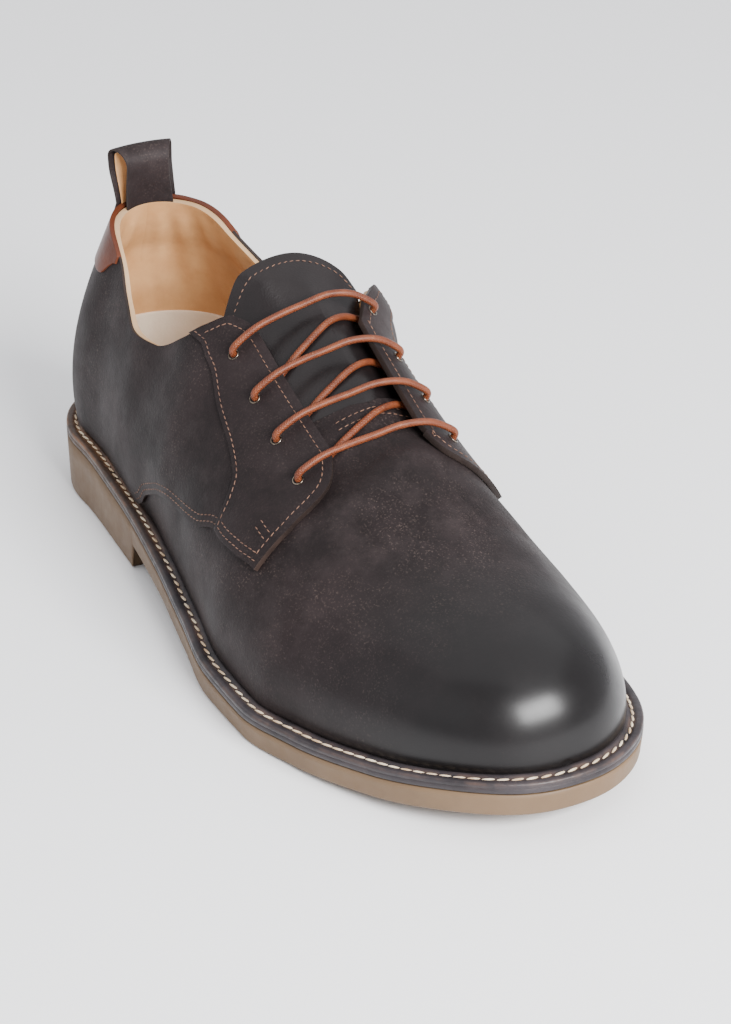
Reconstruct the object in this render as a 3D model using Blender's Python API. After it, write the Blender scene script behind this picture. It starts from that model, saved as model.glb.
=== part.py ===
import math

import bmesh
import bpy
from mathutils import Vector

# Driving sizes, in metres. X runs from heel to toe, Y from the outer to the inner side, Z up from the floor.
LAST_LENGTH = 0.290
BALL_WIDTH = 0.100
INSTEP_HEIGHT = 0.079
COLLAR_HEIGHT = 0.074
ANKLE_DIP = 0.021
FACING_RISE = 0.006
FACING_GAP = 0.029
THROAT_SIDE = 0.004

HEEL_STACK = 0.0245
FOREFOOT_STACK = 0.0115
TOE_SPRING = 0.0075
ARCH_LIFT = 0.009
HEEL_LENGTH = 0.088
BREAST_DRAFT = 0.001
WELT_REACH = 0.0055
WELT_LIP = 0.007
WELT_THICKNESS = 0.0015
MIDSOLE_THICKNESS = 0.0017
SOLE_BEVEL = 0.0010
SOLE_DRAFT = 0.0006

UPPER_WALL = 0.0018
PANEL_WALL = 0.0010
EYESTAY_WALL = 0.0018
TAB_WALL = 0.0009
INSOLE_THICKNESS = 0.0030
TONGUE_THICKNESS = 0.0022
TONGUE_MARGIN = 0.012
CLEARANCE = 0.0003
PANEL_CLEARANCE = 0.0004

LACE_DIAMETER = 0.0026
LACE_CLEARANCE = 0.0005
LACE_BEND = 0.0018
LACE_SETTLE = 0.0060
LACE_TAIL_SPREAD = 0.004
EYELET_COUNT = 4
EYELET_INSET = 0.0105
EYELET_SPREAD = 0.0030
EYELET_BORE = 0.0036
EYELET_BARREL = 0.0048
EYELET_FLANGE = 0.0062
EYELET_FLANGE_RISE = 0.0004
INNER_EYELETS_FORWARD = 0.0030

LOOP_WIDTH = 0.0190
LOOP_RISE = 0.0200
LOOP_THICKNESS = 0.0016
LOOP_OPENING = 0.0080
LOOP_LEAN = 0.0020
LOOP_HEM = 0.012
LOOP_FLATNESS = 0.8

# Shares of the last's length, from the back of the heel
HEEL_CENTRE = 0.12
TOE_TURN = 0.76
TOE_DROP = 0.84
FLAT_FROM = 0.60
FLAT_TO = 0.70
FACING_FROM = 0.37
THROAT_FROM = 0.605
THROAT_TO = 0.630
TONGUE_TOP = 0.362
TONGUE_FOOT = 0.665
EYELET_FIRST = 0.420
EYELET_LAST = 0.600

# Powers of the rounded curves that close the toe from above, the toe from the side, and the heel from above
TOE_ROUND = 2.25
TOE_FULLNESS = 2.3
HEEL_ROUND = 2.1

HEEL_STEPS = 7
SIDE_STEPS = 24
TOE_STEPS = 9
RIB_STEPS = 12
EYESTAY_ROWS = 10
QUARTER_ROWS = 10
TAB_ROWS = 3
TONGUE_COLUMNS = 16
TONGUE_ROWS = 14
LOOP_COLUMNS = 6
LOOP_TURNS = 8
EYELET_SIDES = 16
LACE_SIDES = 8

# Shares of the length that stations keep apart, and shares of a rib: the gap at the eyestay's seam, the softness of
# the corner from the collar to the facing, and the flank that ends below every edge of the throat
STATION_APART = 0.002
BREAST_APART = 0.012
SEAM_GAP = 0.007
CORNER_SOFTNESS = 0.04
FLANK = 0.3

# The feather line from above. at: share of the length. outer, inner: half widths, shares of the ball width.
PLAN = (
    dict(at=0.12, outer=0.343, inner=0.343),
    dict(at=0.25, outer=0.372, inner=0.315),
    dict(at=0.40, outer=0.425, inner=0.305),
    dict(at=0.52, outer=0.485, inner=0.365),
    dict(at=0.62, outer=0.535, inner=0.435),
    dict(at=0.70, outer=0.538, inner=0.480),
    dict(at=0.78, outer=0.485, inner=0.495),
    dict(at=0.88, outer=0.420, inner=0.490),
    dict(at=1.00, outer=0.385, inner=0.490),
)
# The sole from the side. heel: share of the heel's extra height. arch, spring: shares of the arch lift and of the
# toe spring.
SOLE_CURVE = (
    dict(at=0.00, heel=1.00, arch=1.00, spring=0.00),
    dict(at=0.12, heel=1.00, arch=1.00, spring=0.00),
    dict(at=0.28, heel=0.86, arch=1.00, spring=0.00),
    dict(at=0.40, heel=0.58, arch=0.72, spring=0.00),
    dict(at=0.52, heel=0.26, arch=0.22, spring=0.00),
    dict(at=0.60, heel=0.09, arch=0.00, spring=0.00),
    dict(at=0.70, heel=0.00, arch=0.00, spring=0.00),
    dict(at=0.78, heel=0.00, arch=0.00, spring=0.10),
    dict(at=0.88, heel=0.00, arch=0.00, spring=0.44),
    dict(at=1.00, heel=0.00, arch=0.00, spring=1.00),
)
# Ribs of the last, from the feather line to the crown. crown: height, share of the instep height. half: the
# crown's half width, and ridge: how far it lies to the inner side of the middle, shares of the ball width.
# brow: degrees that the rib falls at the crown.
RIBS = (
    dict(at=0.00, crown=1.25, half=0.140, ridge=0.000, brow=72),
    dict(at=0.12, crown=1.25, half=0.085, ridge=0.000, brow=72),
    dict(at=0.25, crown=1.26, half=0.115, ridge=0.075, brow=65),
    dict(at=0.33, crown=1.20, half=0.110, ridge=0.145, brow=48),
    dict(at=0.38, crown=1.13, half=0.060, ridge=0.170, brow=28),
    dict(at=0.42, crown=1.065, half=0.010, ridge=0.180, brow=12),
    dict(at=0.46, crown=0.997, half=0.000, ridge=0.180, brow=5),
    dict(at=0.50, crown=0.935, half=0.000, ridge=0.175, brow=4),
    dict(at=0.58, crown=0.828, half=0.000, ridge=0.160, brow=4),
    dict(at=0.64, crown=0.752, half=0.000, ridge=0.145, brow=3),
    dict(at=0.70, crown=0.680, half=0.000, ridge=0.120, brow=2),
    dict(at=0.80, crown=0.560, half=0.000, ridge=0.060, brow=1),
    dict(at=0.90, crown=0.480, half=0.000, ridge=0.015, brow=0),
    dict(at=1.00, crown=0.430, half=0.000, ridge=0.000, brow=0),
)
# How each side of a rib swells. lean: degrees outward at the feather line. foot, top: pull of the curve's
# handles.
OUTER_SWELL = (
    dict(at=0.00, lean=13, foot=0.37, top=0.36),
    dict(at=0.12, lean=9, foot=0.38, top=0.36),
    dict(at=0.33, lean=8, foot=0.40, top=0.42),
    dict(at=0.42, lean=8, foot=0.45, top=0.50),
    dict(at=0.58, lean=9, foot=0.48, top=0.54),
    dict(at=0.70, lean=10, foot=0.52, top=0.56),
    dict(at=0.90, lean=6, foot=0.58, top=0.58),
    dict(at=1.00, lean=4, foot=0.58, top=0.58),
)
INNER_SWELL = (
    dict(at=0.00, lean=13, foot=0.37, top=0.36),
    dict(at=0.12, lean=9, foot=0.38, top=0.36),
    dict(at=0.25, lean=14, foot=0.40, top=0.46),
    dict(at=0.33, lean=20, foot=0.48, top=0.62),
    dict(at=0.42, lean=24, foot=0.54, top=0.85),
    dict(at=0.52, lean=20, foot=0.54, top=0.78),
    dict(at=0.62, lean=15, foot=0.54, top=0.66),
    dict(at=0.72, lean=12, foot=0.54, top=0.60),
    dict(at=0.90, lean=6, foot=0.58, top=0.58),
    dict(at=1.00, lean=4, foot=0.58, top=0.58),
)
# The collar. dip: share of the ankle's dip below the collar's back. climb: share of the facing's rise above
# it.
TOP_LINE = (
    dict(at=0.000, dip=0.00, climb=0.00),
    dict(at=0.060, dip=0.05, climb=0.00),
    dict(at=0.100, dip=0.18, climb=0.00),
    dict(at=0.142, dip=0.45, climb=0.00),
    dict(at=0.185, dip=0.80, climb=0.00),
    dict(at=0.230, dip=1.00, climb=0.00),
    dict(at=0.285, dip=0.90, climb=0.00),
    dict(at=0.336, dip=0.48, climb=0.05),
    dict(at=0.361, dip=0.20, climb=0.20),
    dict(at=0.387, dip=0.00, climb=0.50),
    dict(at=0.430, dip=0.00, climb=1.00),
)
# Edges of the panels on the last's own skin. t: share of the way up to the top line.
EYESTAY_LOWER = (
    dict(at=0.345, t=1.00),
    dict(at=0.370, t=0.89),
    dict(at=0.395, t=0.80),
    dict(at=0.452, t=0.70),
    dict(at=0.494, t=0.67),
    dict(at=0.525, t=0.63),
    dict(at=0.538, t=0.56),
    dict(at=0.546, t=0.44),
    dict(at=0.600, t=0.475),
    dict(at=0.640, t=0.505),
)
EYESTAY_UPPER = (
    dict(at=0.590, t=1.00),
    dict(at=0.612, t=0.97),
    dict(at=0.624, t=0.94),
    dict(at=0.632, t=0.90),
    dict(at=0.637, t=0.83),
    dict(at=0.640, t=0.72),
)
QUARTER_LOWER = (
    dict(at=0.010, t=0.02),
    dict(at=0.300, t=0.02),
    dict(at=0.318, t=0.06),
    dict(at=0.336, t=0.14),
    dict(at=0.391, t=0.22),
    dict(at=0.447, t=0.28),
    dict(at=0.500, t=0.345),
    dict(at=0.546, t=0.43),
)
TAB_EDGE = (
    dict(at=0.000, t=0.79),
    dict(at=0.050, t=0.79),
    dict(at=0.085, t=0.80),
    dict(at=0.103, t=0.82),
    dict(at=0.118, t=0.91),
    dict(at=0.130, t=0.96),
)


def smooth(rows, column, at):
    """The column's value at a share of the length, on a smooth curve through the rows."""
    if at <= rows[0]["at"]:
        return rows[0][column]
    if at >= rows[-1]["at"]:
        return rows[-1][column]
    last = len(rows) - 1
    low = max(k for k in range(last) if rows[k]["at"] <= at)

    def rise(k):
        return (rows[k + 1][column] - rows[k][column]) / (rows[k + 1]["at"] - rows[k]["at"])

    def slope(k):
        if k in (0, last):
            return 0.0
        before, after = rise(k - 1), rise(k)
        return 2 * before * after / (before + after) if before * after > 0 else 0.0

    step = rows[low + 1]["at"] - rows[low]["at"]
    t = (at - rows[low]["at"]) / step
    start, end = rows[low][column], rows[low + 1][column]
    return (
        (2 * t**3 - 3 * t**2 + 1) * start
        + (t**3 - 2 * t**2 + t) * step * slope(low)
        + (3 * t**2 - 2 * t**3) * end
        + (t**3 - t**2) * step * slope(low + 1)
    )


def closing(at, start, power):
    """How far a section still stands open between start and the tip, from 1 to 0 on a rounded curve."""
    s = min(max((at - start) / (1 - start), 0.0), 1.0)
    return max(1 - s**power, 0.0) ** (1 / power)


def feather_height(at):
    """The top of the welt above the floor."""
    heel = (HEEL_STACK - FOREFOOT_STACK) * smooth(SOLE_CURVE, "heel", at)
    return FOREFOOT_STACK + heel + TOE_SPRING * smooth(SOLE_CURVE, "spring", at)


def tread_height(at):
    """The underside of the outsole above the floor."""
    if at * LAST_LENGTH < HEEL_LENGTH + BREAST_DRAFT / 2:
        return 0.0
    return ARCH_LIFT * smooth(SOLE_CURVE, "arch", at) + TOE_SPRING * smooth(SOLE_CURVE, "spring", at)


def outline(side, at):
    """A point of the feather line from above. side is -1 on the outer side and 1 on the inner."""
    if at < HEEL_CENTRE:
        turn = math.pi / 2 * (1 - at / HEEL_CENTRE)
        half = BALL_WIDTH * PLAN[0]["inner" if side > 0 else "outer"]
        back = HEEL_CENTRE * LAST_LENGTH
        stretch = (math.cos(turn) / half) ** HEEL_ROUND + (math.sin(turn) / back) ** HEEL_ROUND
        radius = stretch ** (-1 / HEEL_ROUND)
        return back - radius * math.sin(turn), side * radius * math.cos(turn)
    inner = BALL_WIDTH * smooth(PLAN, "inner", at)
    outer = BALL_WIDTH * smooth(PLAN, "outer", at)
    open_share = closing(at, TOE_TURN, TOE_ROUND)
    return LAST_LENGTH * at, (inner - outer) / 2 + side * (inner + outer) / 2 * open_share


def rib_axis(at):
    """The upright line that the rib at this share starts out from, as a point from above."""
    if at < HEEL_CENTRE:
        return HEEL_CENTRE * LAST_LENGTH, 0.0
    middle = (smooth(PLAN, "inner", at) - smooth(PLAN, "outer", at)) / 2
    return LAST_LENGTH * at, BALL_WIDTH * (middle + smooth(RIBS, "ridge", at))


def rib(side, at, t):
    """A point of the last: at runs from the heel to the toe, t from the feather line to the crown."""
    x, y = outline(side, at)
    axis_x, axis_y = rib_axis(at)
    reach = math.hypot(x - axis_x, y - axis_y)
    out_x, out_y = ((x - axis_x) / reach, (y - axis_y) / reach) if reach > 1e-9 else (0.0, side)
    swell = INNER_SWELL if side > 0 else OUTER_SWELL
    height = INSTEP_HEIGHT * smooth(RIBS, "crown", at) * closing(at, TOE_DROP, TOE_FULLNESS)
    crown = BALL_WIDTH * smooth(RIBS, "half", at)
    lean = math.radians(smooth(swell, "lean", at))
    brow = math.radians(smooth(RIBS, "brow", at))
    foot = smooth(swell, "foot", at) * height
    top = smooth(swell, "top", at) * ((reach - crown) * math.cos(brow) + height * math.sin(brow))
    across = (reach, reach + foot * math.sin(lean), crown + top * math.cos(brow), crown)
    up = (0.0, foot * math.cos(lean), height - top * math.sin(brow), height)
    weights = ((1 - t) ** 3, 3 * t * (1 - t) ** 2, 3 * t**2 * (1 - t), t**3)
    out = sum(w * a for w, a in zip(weights, across))
    rise = sum(w * u for w, u in zip(weights, up))
    return Vector((axis_x + out_x * out, axis_y + out_y * out, feather_height(at) + CLEARANCE + rise))


def across_skin(side, at, t):
    """Square to the skin, from the rib's own direction and the direction along the length."""
    step = 1e-4
    along = rib(side, min(at + step, 1.0), t) - rib(side, max(at - step, 0.0), t)
    up = rib(side, at, min(t + step, 1.0)) - rib(side, at, max(t - step, 0.0))
    return (along.cross(up) * -side).normalized()


def outward(side, at, t):
    """The last's outward direction at a point of its skin."""
    if at >= 1.0:
        return Vector((1.0, 0.0, 0.0))
    on_middle = at == 0.0 or (t > 1.0 - 1e-6 and smooth(RIBS, "half", at) == 0.0)
    if on_middle:
        both = across_skin(-1, at, t) + across_skin(1, at, t)
        return Vector((both.x, 0.0, both.z)).normalized()
    return across_skin(side, at, t)


def skin(side, at, t, lift):
    """A point that lies lift outside the last, or inside it where lift is negative."""
    return rib(side, at, t) + outward(side, at, t) * lift


def share_where(side, at, low, high, reached):
    """The share of the rib where a test that is false below it starts to be true."""
    for _ in range(28):
        middle = (low + high) / 2
        if reached(rib(side, at, middle)):
            high = middle
        else:
            low = middle
    return (low + high) / 2


def gap_share(side, at, gap=FACING_GAP):
    """The share of the rib at the facing's edge."""
    return share_where(side, at, FLANK, 1.0, lambda p: (p.y - THROAT_SIDE) * side <= gap / 2)


def top_share(side, at):
    """The share of the rib at the top line: the collar, the facing's edge, then the vamp's back edge."""
    collar = COLLAR_HEIGHT - ANKLE_DIP * smooth(TOP_LINE, "dip", at) + FACING_RISE * smooth(TOP_LINE, "climb", at)
    floor = feather_height(at)
    by_height = share_where(side, at, 0.0, 1.0, lambda p: p.z - floor >= collar)
    if at < FACING_FROM:
        return by_height
    by_gap = gap_share(side, at)
    if at < THROAT_FROM:
        lower, upper = min(by_height, by_gap), max(by_height, by_gap)
        near = max(CORNER_SOFTNESS - (upper - lower), 0.0) / CORNER_SOFTNESS
        return lower - near * near * CORNER_SOFTNESS / 4
    s = min((at - THROAT_FROM) / (THROAT_TO - THROAT_FROM), 1.0)
    return by_gap + (1 - by_gap) * s * s * (3 - 2 * s)


def stations():
    """Shares of the length where sections are taken, closer where the form turns."""
    heel = [HEEL_CENTRE * k / HEEL_STEPS for k in range(HEEL_STEPS)]
    side = [HEEL_CENTRE + (TOE_TURN - HEEL_CENTRE) * k / SIDE_STEPS for k in range(SIDE_STEPS)]
    toe = [TOE_TURN + (1 - TOE_TURN) * math.sin(math.pi / 2 * k / TOE_STEPS) for k in range(TOE_STEPS + 1)]
    return heel + side + toe


def with_key_shares(shares, keys):
    """The shares with the nearest one moved onto each key share."""
    moved = list(shares)
    for key in sorted(set(keys)):
        free = [k for k in range(1, len(moved) - 1) if moved[k] not in keys]
        moved[min(free, key=lambda k: abs(moved[k] - key))] = key
    return sorted(moved)


def upper_shares():
    """The stations of the upper, with one at each end of the throat and of each panel."""
    ends = [edge[k]["at"] for edge in (EYESTAY_LOWER, QUARTER_LOWER, TAB_EDGE) for k in (0, -1)]
    corner = QUARTER_LOWER[1]["at"]
    middle = (THROAT_FROM + THROAT_TO) / 2
    keys = [at for at in ends + [corner, THROAT_FROM, middle, THROAT_TO] if at > 0]
    return with_key_shares(stations(), keys)


def shares_between(first, last, extra=()):
    """The upper's stations between two shares of the length, and extra ones that stand clear of them."""
    shares = [at for at in upper_shares() if first <= at <= last]
    for at in extra:
        if first < at < last and min(abs(at - other) for other in shares) > STATION_APART:
            shares.append(at)
    return sorted(shares)


def material(name, colour, roughness, metallic=0.0):
    made = bpy.data.materials.new(name)
    made.use_nodes = True
    shader = made.node_tree.nodes["Principled BSDF"]
    shader.inputs["Base Color"].default_value = (*colour, 1.0)
    shader.inputs["Roughness"].default_value = roughness
    shader.inputs["Metallic"].default_value = metallic
    return made


def finish(name, form, finish_of, sharp=50):
    """Closes the form's seams and puts it in the scene as one named object."""
    bmesh.ops.remove_doubles(form, verts=form.verts, dist=1e-6)
    bmesh.ops.dissolve_degenerate(form, edges=form.edges, dist=1e-6)
    bmesh.ops.recalc_face_normals(form, faces=form.faces)
    mesh = bpy.data.meshes.new(name)
    form.to_mesh(mesh)
    form.free()
    mesh.shade_smooth()
    mesh.set_sharp_from_angle(angle=math.radians(sharp))
    made = bpy.data.objects.new(name, mesh)
    made.data.materials.append(finish_of)
    bpy.context.scene.collection.objects.link(made)
    return made


def add_grid(form, columns, rows, place, flip=False):
    """A grid of faces whose corner in each column and row is given by place."""
    corners = [[form.verts.new(place(i, j)) for j in range(rows + 1)] for i in range(columns + 1)]
    for i in range(columns):
        for j in range(rows):
            face = [corners[i][j], corners[i + 1][j], corners[i + 1][j + 1], corners[i][j + 1]]
            form.faces.new(face[::-1] if flip else face)


def add_band(form, rows, columns, lifts):
    """A closed sheet of the skin between two lifts. A column holds side, at, low and high share."""

    def spot(i, j):
        side, at, low, high = columns[i]
        return side, at, low + (high - low) * j / rows

    last = len(columns) - 1
    for lift, flip in ((lifts[0], True), (lifts[1], False)):
        add_grid(form, last, rows, lambda i, j, lift=lift: skin(*spot(i, j), lift), flip)
    for row in (0, rows):
        add_grid(form, last, 1, lambda i, m, row=row: skin(*spot(i, row), lifts[m]))
    for column in (0, last):
        if columns[column][2] != columns[column][3]:
            add_grid(form, rows, 1, lambda j, m, column=column: skin(*spot(column, j), lifts[m]))


def ring(shares, reach):
    """The feather line moved out by reach: the outer side from heel to toe, then the inner side."""
    outer = [outline(-1, at) for at in shares]
    inner = [outline(1, at) for at in shares]
    loop = outer + inner[-2:0:-1]
    moved = []
    for k, point in enumerate(loop):
        before, after = loop[k - 1], loop[(k + 1) % len(loop)]
        along = Vector((after[0] - before[0], after[1] - before[1])).normalized()
        moved.append((point[0] + along.y * reach, point[1] - along.x * reach))
    count = len(shares)
    return moved[:count], [moved[0]] + moved[:count - 1:-1] + [moved[count - 1]]


def raised(point, height):
    """A point from above, put at the height that holds at its own share of the length."""
    return point[0], point[1], height(min(max(point[0] / LAST_LENGTH, 0.0), 1.0))


def add_plate(form, shares, levels):
    """A plate in the sole's outline. A level pairs a reach with a function of the height along it."""
    sides = [ring(shares, reach) for reach, _ in levels]
    for which in (0, 1):
        add_grid(
            form,
            len(shares) - 1,
            len(levels) - 1,
            lambda i, j, which=which: raised(sides[j][which][i], levels[j][1]),
        )
    for level in (0, len(levels) - 1):
        height = levels[level][1]
        add_grid(form, len(shares) - 1, 1, lambda i, j: raised(sides[level][j][i], height))


def add_strip_ring(form, shares, outer_reach, inner_reach, top, bottom):
    """A flat ring in the sole's outline, between two reaches."""
    corners = ((outer_reach, bottom), (outer_reach, top), (inner_reach, top), (inner_reach, bottom))
    sides = [ring(shares, reach) for reach, _ in corners]
    for which in (0, 1):
        add_grid(
            form,
            len(shares) - 1,
            4,
            lambda i, j, which=which: raised(sides[j % 4][which][i], corners[j % 4][1]),
        )


def make_outsole(gum):
    breast = HEEL_LENGTH / LAST_LENGTH
    past_breast = breast + BREAST_DRAFT / LAST_LENGTH
    shares = with_key_shares(stations(), (FLAT_FROM, FLAT_TO))
    shares = sorted([at for at in shares if abs(at - breast) > BREAST_APART] + [breast, past_breast])
    top = WELT_THICKNESS + MIDSOLE_THICKNESS + 2 * CLEARANCE
    form = bmesh.new()
    add_plate(
        form,
        shares,
        (
            (WELT_REACH - SOLE_DRAFT - SOLE_BEVEL, tread_height),
            (WELT_REACH - SOLE_DRAFT, lambda at: tread_height(at) + SOLE_BEVEL),
            (WELT_REACH, lambda at: feather_height(at) - top),
        ),
    )
    return finish("outsole", form, gum, 30)


def make_midsole(edge):
    top = WELT_THICKNESS + CLEARANCE
    form = bmesh.new()
    add_plate(
        form,
        stations(),
        (
            (WELT_REACH, lambda at: feather_height(at) - top - MIDSOLE_THICKNESS),
            (WELT_REACH, lambda at: feather_height(at) - top),
        ),
    )
    return finish("midsole", form, edge, 30)


def make_welt(edge):
    form = bmesh.new()
    add_strip_ring(
        form,
        stations(),
        WELT_REACH,
        -WELT_LIP,
        feather_height,
        lambda at: feather_height(at) - WELT_THICKNESS,
    )
    return finish("welt", form, edge, 30)


def make_insole(board):
    inset = -(UPPER_WALL + 2 * CLEARANCE)
    form = bmesh.new()
    add_plate(
        form,
        stations(),
        (
            (inset, lambda at: feather_height(at) + CLEARANCE),
            (inset, lambda at: feather_height(at) + CLEARANCE + INSOLE_THICKNESS),
        ),
    )
    return finish("insole", form, board, 30)


def make_upper(leather):
    shares = upper_shares()
    columns = [(-1, at) for at in reversed(shares)] + [(1, at) for at in shares[1:]]
    tops = {(side, at): top_share(side, at) for side, at in columns}
    form = bmesh.new()

    def place(i, j):
        side, at = columns[i]
        return side, at, tops[side, at] * j / RIB_STEPS

    for lift in (0.0, -UPPER_WALL):
        add_grid(form, len(columns) - 1, RIB_STEPS, lambda i, j, lift=lift: skin(*place(i, j), lift))
    for row in (0, RIB_STEPS):
        open_columns = [i for i, (_, at) in enumerate(columns) if row == 0 or at <= THROAT_TO]
        first = open_columns[0]
        add_grid(
            form,
            len(open_columns) - 1,
            1,
            lambda k, m, row=row, first=first: skin(*place(first + k, row), (0.0, -UPPER_WALL)[m]),
        )
    return finish("upper", form, leather, 60)


def facing_top(side, at):
    """The share of the rib at the edge of the facing, also past the throat."""
    return top_share(side, at) if at < THROAT_FROM else gap_share(side, at)


def make_eyestay(side, name, leather):
    first, last = EYESTAY_LOWER[0]["at"], EYESTAY_LOWER[-1]["at"]
    columns = []
    for at in shares_between(first, last, [row["at"] for row in EYESTAY_LOWER + EYESTAY_UPPER]):
        edge = facing_top(side, at)
        low, high = smooth(EYESTAY_LOWER, "t", at), smooth(EYESTAY_UPPER, "t", at)
        columns.append((side, at, low * edge, high * edge))
    form = bmesh.new()
    add_band(form, EYESTAY_ROWS, columns, (PANEL_CLEARANCE, PANEL_CLEARANCE + EYESTAY_WALL))
    return finish(name, form, leather, 50)


def make_quarter(side, name, leather):
    columns = []
    extra = [row["at"] for row in EYESTAY_LOWER + EYESTAY_UPPER]
    for at in shares_between(QUARTER_LOWER[0]["at"], QUARTER_LOWER[-1]["at"], extra):
        edge = facing_top(side, at)
        low = smooth(QUARTER_LOWER, "t", at)
        high = max(low, smooth(EYESTAY_LOWER, "t", at) - SEAM_GAP)
        columns.append((side, at, low * edge, high * edge))
    form = bmesh.new()
    add_band(form, QUARTER_ROWS, columns, (PANEL_CLEARANCE, PANEL_CLEARANCE + PANEL_WALL))
    return finish(name, form, leather, 50)


def make_heel_tab(leather):
    low = 2 * PANEL_CLEARANCE + PANEL_WALL
    shares = shares_between(0.0, TAB_EDGE[-1]["at"])
    columns = []
    for side, at in [(-1, at) for at in reversed(shares)] + [(1, at) for at in shares[1:]]:
        edge = top_share(side, at)
        columns.append((side, at, smooth(TAB_EDGE, "t", at) * edge, edge))
    form = bmesh.new()
    add_band(form, TAB_ROWS, columns, (low, low + TAB_WALL))
    return finish("heel_tab", form, leather, 50)


def make_tongue(leather):
    deep = UPPER_WALL + LACE_DIAMETER + 2 * LACE_CLEARANCE
    shallow = UPPER_WALL + CLEARANCE
    form = bmesh.new()

    def spot(i, j, lift):
        at = TONGUE_TOP + (TONGUE_FOOT - TONGUE_TOP) * i / TONGUE_COLUMNS
        across = 2 * j / TONGUE_ROWS - 1
        side = -1 if across < 0 else 1
        foot = gap_share(side, at, FACING_GAP + 2 * TONGUE_MARGIN)
        free = min(max((EYELET_FIRST - at) / (EYELET_FIRST - TONGUE_TOP), 0.0), 1.0)
        depth = deep + (shallow - deep) * free * across**4
        return skin(side, at, 1 - (1 - foot) * abs(across), lift - depth)

    levels = (0.0, -TONGUE_THICKNESS)
    for lift, flip in ((levels[0], False), (levels[1], True)):
        add_grid(form, TONGUE_COLUMNS, TONGUE_ROWS, lambda i, j, lift=lift: spot(i, j, lift), flip)
    for j in (0, TONGUE_ROWS):
        add_grid(form, TONGUE_COLUMNS, 1, lambda k, m, j=j: spot(k, j, levels[m]))
    for i in (0, TONGUE_COLUMNS):
        add_grid(form, TONGUE_ROWS, 1, lambda k, m, i=i: spot(i, k, levels[m]))
    return finish("tongue", form, leather, 50)


def over_instep(at, y, lift):
    """A point at a height above the last's skin, given from above."""
    side = 1 if y > rib_axis(at)[1] else -1
    return skin(side, at, share_where(side, at, FLANK, 1.0, lambda p: p.y * side <= y * side), lift)


def eyelet_spot(side, k, further=0.0):
    """The skin at eyelet k, or further in: the point, the way out, and the way to the facing's edge."""
    share = k / (EYELET_COUNT - 1)
    inset = EYELET_INSET + EYELET_SPREAD * share + further
    at = EYELET_FIRST + (EYELET_LAST - EYELET_FIRST) * share
    if side > 0:
        at += INNER_EYELETS_FORWARD / LAST_LENGTH * (1 - share)
    edge = gap_share(side, at)
    rim = rib(side, at, edge)
    t = share_where(side, at, FLANK, edge, lambda p: (p - rim).length <= inset)
    out = outward(side, at, t)
    inward = rim - rib(side, at, t)
    inward = (inward - out * inward.dot(out)).normalized()
    return rib(side, at, t), out, inward


def add_turned(form, centre, axis, across, profile, sides):
    """A closed ring turned about an axis from a profile of radius and height pairs."""
    third = axis.cross(across)

    def place(i, j):
        turn = 2 * math.pi * (i % sides) / sides
        radius, height = profile[j % len(profile)]
        return centre + axis * height + (across * math.cos(turn) + third * math.sin(turn)) * radius

    add_grid(form, sides, len(profile), place)


def make_eyelet(side, k, name, brass):
    """A grommet: a barrel through both leathers with a flange on top."""
    centre, out, inward = eyelet_spot(side, k)
    panel = PANEL_CLEARANCE + EYESTAY_WALL + CLEARANCE
    bore, barrel, flange = EYELET_BORE / 2, EYELET_BARREL / 2, EYELET_FLANGE / 2
    profile = (
        (bore, -UPPER_WALL),
        (bore, panel + EYELET_FLANGE_RISE),
        (flange, panel + EYELET_FLANGE_RISE),
        (flange, panel),
        (barrel, panel),
        (barrel, -UPPER_WALL),
    )
    form = bmesh.new()
    add_turned(form, centre, out, inward, profile, EYELET_SIDES)
    return finish(name, form, brass, 40)


def circle(centre, first, second, radius, count):
    """Points around a centre, in the plane of two directions."""
    turns = [2 * math.pi * i / count for i in range(count)]
    return [centre + (first * math.cos(turn) + second * math.sin(turn)) * radius for turn in turns]


def add_tube(form, loops):
    """Faces between loops of equally many points, closed at both ends."""
    rings = [[form.verts.new(point) for point in loop] for loop in loops]
    for low, high in zip(rings, rings[1:]):
        for i in range(len(low)):
            j = (i + 1) % len(low)
            form.faces.new((low[i], low[j], high[j], high[i]))
    form.faces.new(rings[0])
    form.faces.new(rings[-1])


def cut_eyelet_holes(side, targets):
    """Round holes for one side's eyelets, through each target."""
    form = bmesh.new()
    reach = 2 * (UPPER_WALL + PANEL_CLEARANCE + EYESTAY_WALL)
    radius = EYELET_BARREL / 2 + CLEARANCE
    for k in range(EYELET_COUNT):
        centre, out, inward = eyelet_spot(side, k)
        ends = (centre - out * reach, centre + out * reach)
        add_tube(form, [circle(end, inward, out.cross(inward), radius, EYELET_SIDES) for end in ends])
    cutter = finish("hole_cutter", form, targets[0].data.materials[0])
    for target in targets:
        hole = target.modifiers.new("eyelet_holes", "BOOLEAN")
        hole.operation = "DIFFERENCE"
        hole.solver = "EXACT"
        hole.object = cutter
        graph = bpy.context.evaluated_depsgraph_get()
        graph.update()
        pierced = bpy.data.meshes.new_from_object(target.evaluated_get(graph))
        target.modifiers.clear()
        target.data = pierced
    bpy.data.objects.remove(cutter, do_unlink=True)


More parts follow.
